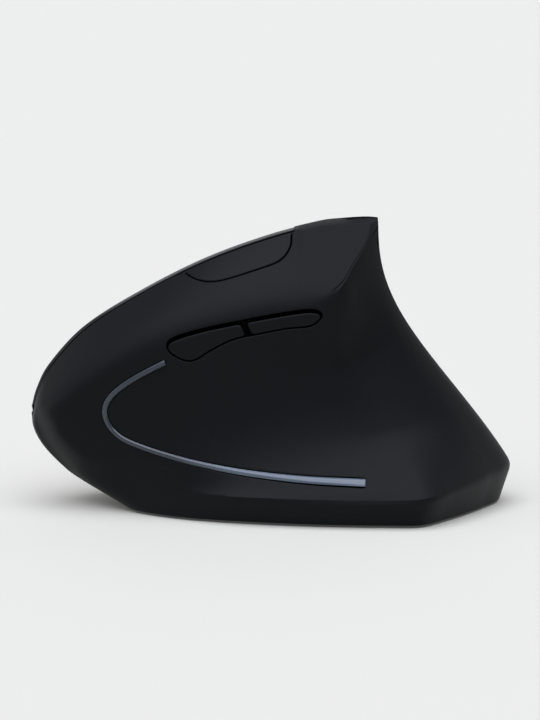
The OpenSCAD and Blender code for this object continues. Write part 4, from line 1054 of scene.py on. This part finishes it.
def strip_line(body, steps):
    """Middle line of the accent strip in x and z, and the ways across it, longer where it gets wider."""
    path = open_curve(STRIP, steps)
    middle = from_side(body.scoop(path[:, 0], path[:, 1]))
    along = unit(np.gradient(middle, axis=0))
    spread = 1 + STRIP_SPREAD * ramp(np.linspace(0, 1, len(middle)), STRIP_WIDENS)
    return middle, np.stack([-along[:, 1], along[:, 0]], -1) * spread[:, None]


def strip_loop(body, width, over):
    """Outline of the accent strip's slot in x and z."""
    middle, aside = strip_line(body, 10)
    along = np.stack([aside[:, 1], -aside[:, 0]], -1)
    middle[0] -= along[0] * over
    middle[-1] += along[-1] * over
    return np.vstack([middle + aside * width / 2, (middle - aside * width / 2)[::-1]])


def facet_axes(body):
    """Origin and the two axes of the ridge button's place on the facet."""
    u = np.array((RIDGE_BUTTON_U - 0.03, RIDGE_BUTTON_U, RIDGE_BUTTON_U + 0.03))
    rim = body.rim(u)
    x = unit(rim[2] - rim[0])
    y = rim[1] - body.crease(u)[1]
    y = unit(y - (y @ x) * x)
    return rim[1] - (0, body.size["seam_gap"] / 2, 0), x, y


def on_facet(body):
    origin, x, y = facet_axes(body)
    return lambda points: np.stack([(points - origin) @ x, (points - origin) @ y], -1)


def facet_row(body, u):
    """Row number of the thumb sheet at the key seam."""
    return BAND_ROWS + SCOOP_ROWS + FACET_ROWS * body.facet_top(u)


class MOUSE_OT_thumb_shell(bpy.types.Operator):
    """Thumb-side shell with its pocket, strip slot and ridge button notch"""
    bl_idname = "mouse.thumb_shell"
    bl_label = "Thumb shell"

    def execute(self, context):
        size = sizes_in_mm()
        body = Body(size)
        sheet = thumb_sheet(body)
        roll = size["edge_roll"]
        top = BAND_ROWS + SCOOP_ROWS + FACET_ROWS + LIP_ROWS
        front = np.linspace(NOTCH, 0, SEAM_STEPS)
        seam_rows = facet_row(body, front) - roll / sheet.pitch[1]
        outer = np.vstack([
            sheet.place(np.linspace(0, 1, FOOT_STEPS), 0),
            sheet.place(1.0, np.linspace(0, top, END_STEPS)),
            sheet.place(np.linspace(1, NOTCH, TOP_STEPS), top),
            sheet.place(NOTCH, np.linspace(top, seam_rows[0], 16)),
            sheet.place(front, seam_rows),
            sheet.place(0.0, np.linspace(seam_rows[-1], 0, END_STEPS)),
        ])
        pocket = pocket_loops(body)[0]
        slot = strip_loop(body, size["strip_width"] + 2 * size["strip_gap"], size["strip_gap"])
        grown = [resampled(shrunk(loop, -roll), HOLE_PITCH) for loop in (pocket, slot)]
        holes = [sheet.find(loop, from_side) for loop in grown]
        notch = shrunk(resampled(loop_curve(RIDGE_BUTTON, 8), LINE_PITCH), -roll)
        beside = np.linspace(RIDGE_BUTTON_SPAN[0], NOTCH, TOP_STEPS)
        rim = on_facet(body)(body.rim(beside) - (0, size["seam_gap"] / 2, 0))
        notch[:, 1] = np.minimum(notch[:, 1], np.interp(notch[:, 0], rim[:, 0], rim[:, 1]) - 0.1)
        holes.append(sheet.find(notch, on_facet(body)))
        ridge_rows = (top - LIP_ROWS - 0.5 * FACET_ROWS, top - LIP_ROWS - 3)
        piece = panel("thumb_shell_skin", sheet, outer, holes, size, finish("soft_black"),
                      corner=body.peak, thin=ridge_rows)
        settle(piece, "case", ["thumb_shell"])
        return {"FINISHED"}


class MOUSE_OT_finger_shell(bpy.types.Operator):
    """Finger-side shell behind and below the keys"""
    bl_idname = "mouse.finger_shell"
    bl_label = "Finger shell"

    def execute(self, context):
        size = sizes_in_mm()
        body = Body(size)
        sheet = finger_sheet(body)
        roll = size["edge_roll"] / sheet.pitch[1]
        top = BAND_ROWS + FACE_ROWS
        front = np.linspace(NOTCH, 0, SEAM_STEPS)
        low = BAND_ROWS + FACE_ROWS * (KEY_LOW - body.half_gap(front)) - roll
        back = NOTCH + size["edge_roll"] / NOTCH_RUN
        outer = np.vstack([
            sheet.place(np.linspace(0, 1, FOOT_STEPS), 0),
            sheet.place(1.0, np.linspace(0, top, END_STEPS)),
            sheet.place(np.linspace(1, back, TOP_STEPS), top),
            sheet.place(back, np.linspace(top, low[0], END_STEPS)),
            sheet.place(front, low),
            sheet.place(0.0, np.linspace(low[-1], 0, 40)),
        ])
        piece = panel("finger_shell_skin", sheet, outer, [], size, finish("soft_black"), corner=body.peak)
        settle(piece, "case", ["finger_shell"])
        return {"FINISHED"}


def deck_axes(body):
    """Wheel place on the finger face, and the deck's axes to the rear and down the face."""
    u = np.array((WHEEL_U - 0.05, WHEEL_U + 0.05))
    at = body.face(np.array(WHEEL_U), np.array(KEY_SPLIT)) + (0, body.size["seam_gap"] / 2, 0)
    ends = body.face(u, np.full(2, KEY_SPLIT))
    x = unit(ends[1] - ends[0])
    rows = body.face(np.full(2, WHEEL_U), np.array((KEY_SPLIT - 0.1, KEY_SPLIT + 0.1)))
    y = rows[0] - rows[1]
    y = unit(y - (y @ x) * x)
    return at, x, y


def on_deck(body):
    at, x, y = deck_axes(body)
    return lambda points: np.stack([(points - at) @ x, (points - at) @ y], -1)


def slot_loop(sheet, body, grow):
    """Wheel slot with rounded corners."""
    w, h = WHEEL_SLOT[0] + grow, WHEEL_SLOT[1] + grow
    corners = np.array([(-w, -h), (w, -h), (w, h), (-w, h)])
    return sheet.find(rounded(resampled(corners, LINE_PITCH), 4), on_deck(body))


class MOUSE_OT_main_keys(bpy.types.Operator):
    """The two main keys on the finger face"""
    bl_idname = "mouse.main_keys"
    bl_label = "Main keys"

    def execute(self, context):
        size = sizes_in_mm()
        body = Body(size)
        sheet = key_sheet(body)
        roll = size["edge_roll"] / sheet.pitch[1]
        end = NOTCH - (size["hinge_gap"] + size["edge_roll"]) / NOTCH_RUN
        u = np.linspace(KEY_START, end, SEAM_STEPS)
        slot = slot_loop(sheet, body, size["edge_roll"])
        for name, low, high in (("left_key", KEY_SPLIT, None), ("right_key", KEY_LOW, KEY_SPLIT)):
            bottom = FACE_ROWS * (low + body.half_gap(u)) + roll
            bottom += 2 * size["nose_gap"] / sheet.pitch[1] * (1 - ramp(u, RELIEF_FADES))
            if high is None:
                top = np.full_like(u, FACE_ROWS + LIP_ROWS) - roll
            else:
                top = FACE_ROWS * (high - body.half_gap(u)) - roll
            outer = np.vstack([
                sheet.place(u, bottom),
                sheet.place(end, np.linspace(bottom[-1], top[-1], TOP_STEPS)),
                sheet.place(u[::-1], top[::-1]),
                sheet.place(u[0], np.linspace(top[0], bottom[0], 60)),
            ])
            piece = panel(name + "_skin", sheet, outer, [slot], size, finish("key_black"),
                          thin=(FACE_ROWS - 12, FACE_ROWS - 2))
            settle(piece, name, [name])
        return {"FINISHED"}


class MOUSE_OT_ridge_button(bpy.types.Operator):
    """Speed button under the ridge"""
    bl_idname = "mouse.ridge_button"
    bl_label = "Ridge button"

    def execute(self, context):
        size = sizes_in_mm()
        body = Body(size)
        sheet = thumb_sheet(body)
        roll = RIDGE_BUTTON_ROLL * size["edge_roll"]
        loop = shrunk(resampled(loop_curve(RIDGE_BUTTON, 8), LINE_PITCH), size["button_gap"] + roll)
        u = np.linspace(*RIDGE_BUTTON_SPAN, TOP_STEPS)
        top = on_facet(body)(body.facet(u, body.facet_top(u)) - (0, size["seam_gap"] / 2, 0))
        limit = np.interp(loop[:, 0], top[:, 0], top[:, 1]) - roll
        loop[:, 1] = np.minimum(loop[:, 1], limit)
        loop = rounded(resampled(loop, BUTTON_PITCH), 3)
        piece = panel("dpi_button_cap", sheet, sheet.find(loop, on_facet(body)), [], size,
                      finish("button_black"), roll)
        settle(piece, "dpi_button", ["dpi_button"])
        return {"FINISHED"}


class MOUSE_OT_thumb_buttons(bpy.types.Operator):
    """Forward and back buttons in the thumb pocket, with a thin flange behind the shell"""
    bl_idname = "mouse.thumb_buttons"
    bl_label = "Thumb buttons"

    def execute(self, context):
        size = sizes_in_mm()
        body = Body(size)
        sheet = thumb_sheet(body)
        roll = THUMB_BUTTON_ROLL * size["edge_roll"]
        loops = pocket_loops(body)
        split = pocket_place(body) + SPLIT_AT
        wide = shrunk(loops[0], -FLANGE["reach"])
        for name, loop, way in zip(("forward_button", "back_button"), loops[1:], (-1, 1)):
            places = sheet.find(shrunk(loop, roll), from_side)
            piece = panel(name + "_cap", sheet, places, [], size, finish("button_black"), roll)
            settle(piece, name, [name])
            towards = way * SPLIT_ACROSS
            flange = clipped(wide, split + towards * FLANGE["split"] / 2, towards)
            places = sheet.find(resampled(flange, LINE_PITCH), from_side)
            thin = dict(size, wall=FLANGE["thick"])
            # The flange takes the near-black finish: painted shade behind the pocket's gaps
            piece = panel(name + "_flange", sheet, places, [], thin, finish("seam_shade_black"), FLANGE_ROLL,
                          -FLANGE["behind"])
            settle(piece, name, [])
        return {"FINISHED"}


class MOUSE_OT_accent_strip(bpy.types.Operator):
    """Accent strip round the thumb scoop"""
    bl_idname = "mouse.accent_strip"
    bl_label = "Accent strip"

    def execute(self, context):
        size = sizes_in_mm()
        body = Body(size)
        sheet = thumb_sheet(body)
        roll = STRIP_ROLL * size["edge_roll"]
        half = size["strip_width"] / 2 - roll
        middle, aside = strip_line(body, 16)
        over = np.linspace(-1, 1, 11)
        targets = middle[:, None] + aside[:, None] * (half * over)[None, :, None]
        places = sheet.find(targets.reshape(-1, 2), from_side)
        normals = unit(sheet.at(sheet.normals, places))
        bead = size["strip_bead"] * np.tile(np.sqrt(1 - STRIP_CROWN * over ** 2), len(middle))
        points = sheet.at(sheet.points, places) + normals * bead[:, None]
        number = np.arange(len(points)).reshape(len(middle), len(over))
        a, b, c, d = number[:-1, :-1], number[1:, :-1], number[1:, 1:], number[:-1, 1:]
        triangles = np.concatenate([np.stack(t, -1).reshape(-1, 3) for t in ((a, b, c), (a, c, d))])
        wall = np.full((len(points), 1), size["wall"])
        solid = rolled_solid(points, normals, triangles, wall, roll)
        piece = add_mesh("accent_strip_inlay", *solid, finish("accent"))
        settle(piece, "case", ["accent_strip"])
        return {"FINISHED"}


class MOUSE_OT_base(bpy.types.Operator):
    """Base plate, battery cover, feet, screws, slider and receiver"""
    bl_idname = "mouse.base"
    bl_label = "Base"

    def execute(self, context):
        for node, material, bevel in (
            ("base_plate", "base_black", 0.0002), ("battery_cover", "base_black", 0.0002),
            ("glide_feet", "glide", 0.0002), ("case_screws", "steel", 0.00015),
            ("frame_screws", "steel", 0.00015), ("power_slider", "grey_plastic", 0.0003),
            ("usb_receiver", "switch_black", 0.0003), ("battery_cells", "wrap", 0.0004),
            ("battery_contacts", "nickel", 0.0001), ("power_switch", "switch_black", 0.0001),
        ):
            dress(node, material, bevel)
        return {"FINISHED"}


class MOUSE_OT_scroll_wheel(bpy.types.Operator):
    """Wheel with its tyre, axle, carrier and encoder"""
    bl_idname = "mouse.scroll_wheel"
    bl_label = "Scroll wheel"

    def execute(self, context):
        for node, material, bevel in (
            ("scroll_wheel", "grey_plastic", 0.0002), ("wheel_tyre", "rubber", 0.0),
            ("wheel_axle", "steel", 0.0002), ("wheel_carrier", "frame_grey", 0.0002),
            ("scroll_encoder", "switch_black", 0.0002),
        ):
            dress(node, material, bevel)
        return {"FINISHED"}


class MOUSE_OT_inside(bpy.types.Operator):
    """Inner frame, boards, switches and sensor"""
    bl_idname = "mouse.inside"
    bl_label = "Inside"

    def execute(self, context):
        for node, material, bevel in (
            ("inner_frame", "frame_grey", 0.0002), ("key_board", "board_green", 0.0001),
            ("main_board", "board_green", 0.0001), ("thumb_board", "board_green", 0.0001),
            ("dpi_board", "board_green", 0.0001), ("left_switch", "switch_black", 0.0002),
            ("right_switch", "switch_black", 0.0002), ("wheel_switch", "switch_black", 0.0001),
            ("dpi_switch", "switch_black", 0.0001), ("thumb_switches", "switch_black", 0.0001),
            ("sensor_lens", "clear", 0.0002), ("sensor_chip", "switch_black", 0.0001),
            ("sensor_lamp", "lamp_red", 0.0),
        ):
            dress(node, material, bevel)
        return {"FINISHED"}


OPERATORS = (
    MOUSE_OT_stage, MOUSE_OT_thumb_shell, MOUSE_OT_finger_shell, MOUSE_OT_main_keys, MOUSE_OT_ridge_button,
    MOUSE_OT_thumb_buttons, MOUSE_OT_accent_strip, MOUSE_OT_base, MOUSE_OT_scroll_wheel, MOUSE_OT_inside,
)


class MOUSE_PT_pieces(bpy.types.Panel):
    """Lists the pieces in the sidebar"""
    bl_label = "Vertical Mouse"
    bl_idname = "MOUSE_PT_pieces"
    bl_space_type = "VIEW_3D"
    bl_region_type = "UI"
    bl_category = "Mouse"

    def draw(self, context):
        for operator in OPERATORS:
            self.layout.operator(operator.bl_idname)
        for group in ("mouse_sizes", "mouse_colours", "mouse_stage"):
            settings = getattr(context.scene, group)
            column = self.layout.column()
            for name in type(settings).__annotations__:
                column.prop(settings, name)


GROUPS = {"mouse_sizes": MouseSizes, "mouse_colours": MouseColours, "mouse_stage": MouseStage}


def register():
    for group in GROUPS.values():
        bpy.utils.register_class(group)
    for name, group in GROUPS.items():
        setattr(bpy.types.Scene, name, PointerProperty(type=group))
    for operator in OPERATORS:
        bpy.utils.register_class(operator)
    bpy.utils.register_class(MOUSE_PT_pieces)


def unregister():
    bpy.utils.unregister_class(MOUSE_PT_pieces)
    for operator in reversed(OPERATORS):
        bpy.utils.unregister_class(operator)
    for name, group in GROUPS.items():
        delattr(bpy.types.Scene, name)
        bpy.utils.unregister_class(group)


def main():
    register()
    for operator in OPERATORS:
        group, name = operator.bl_idname.split(".")
        getattr(getattr(bpy.ops, group), name)()


if __name__ == "__main__":
    main()
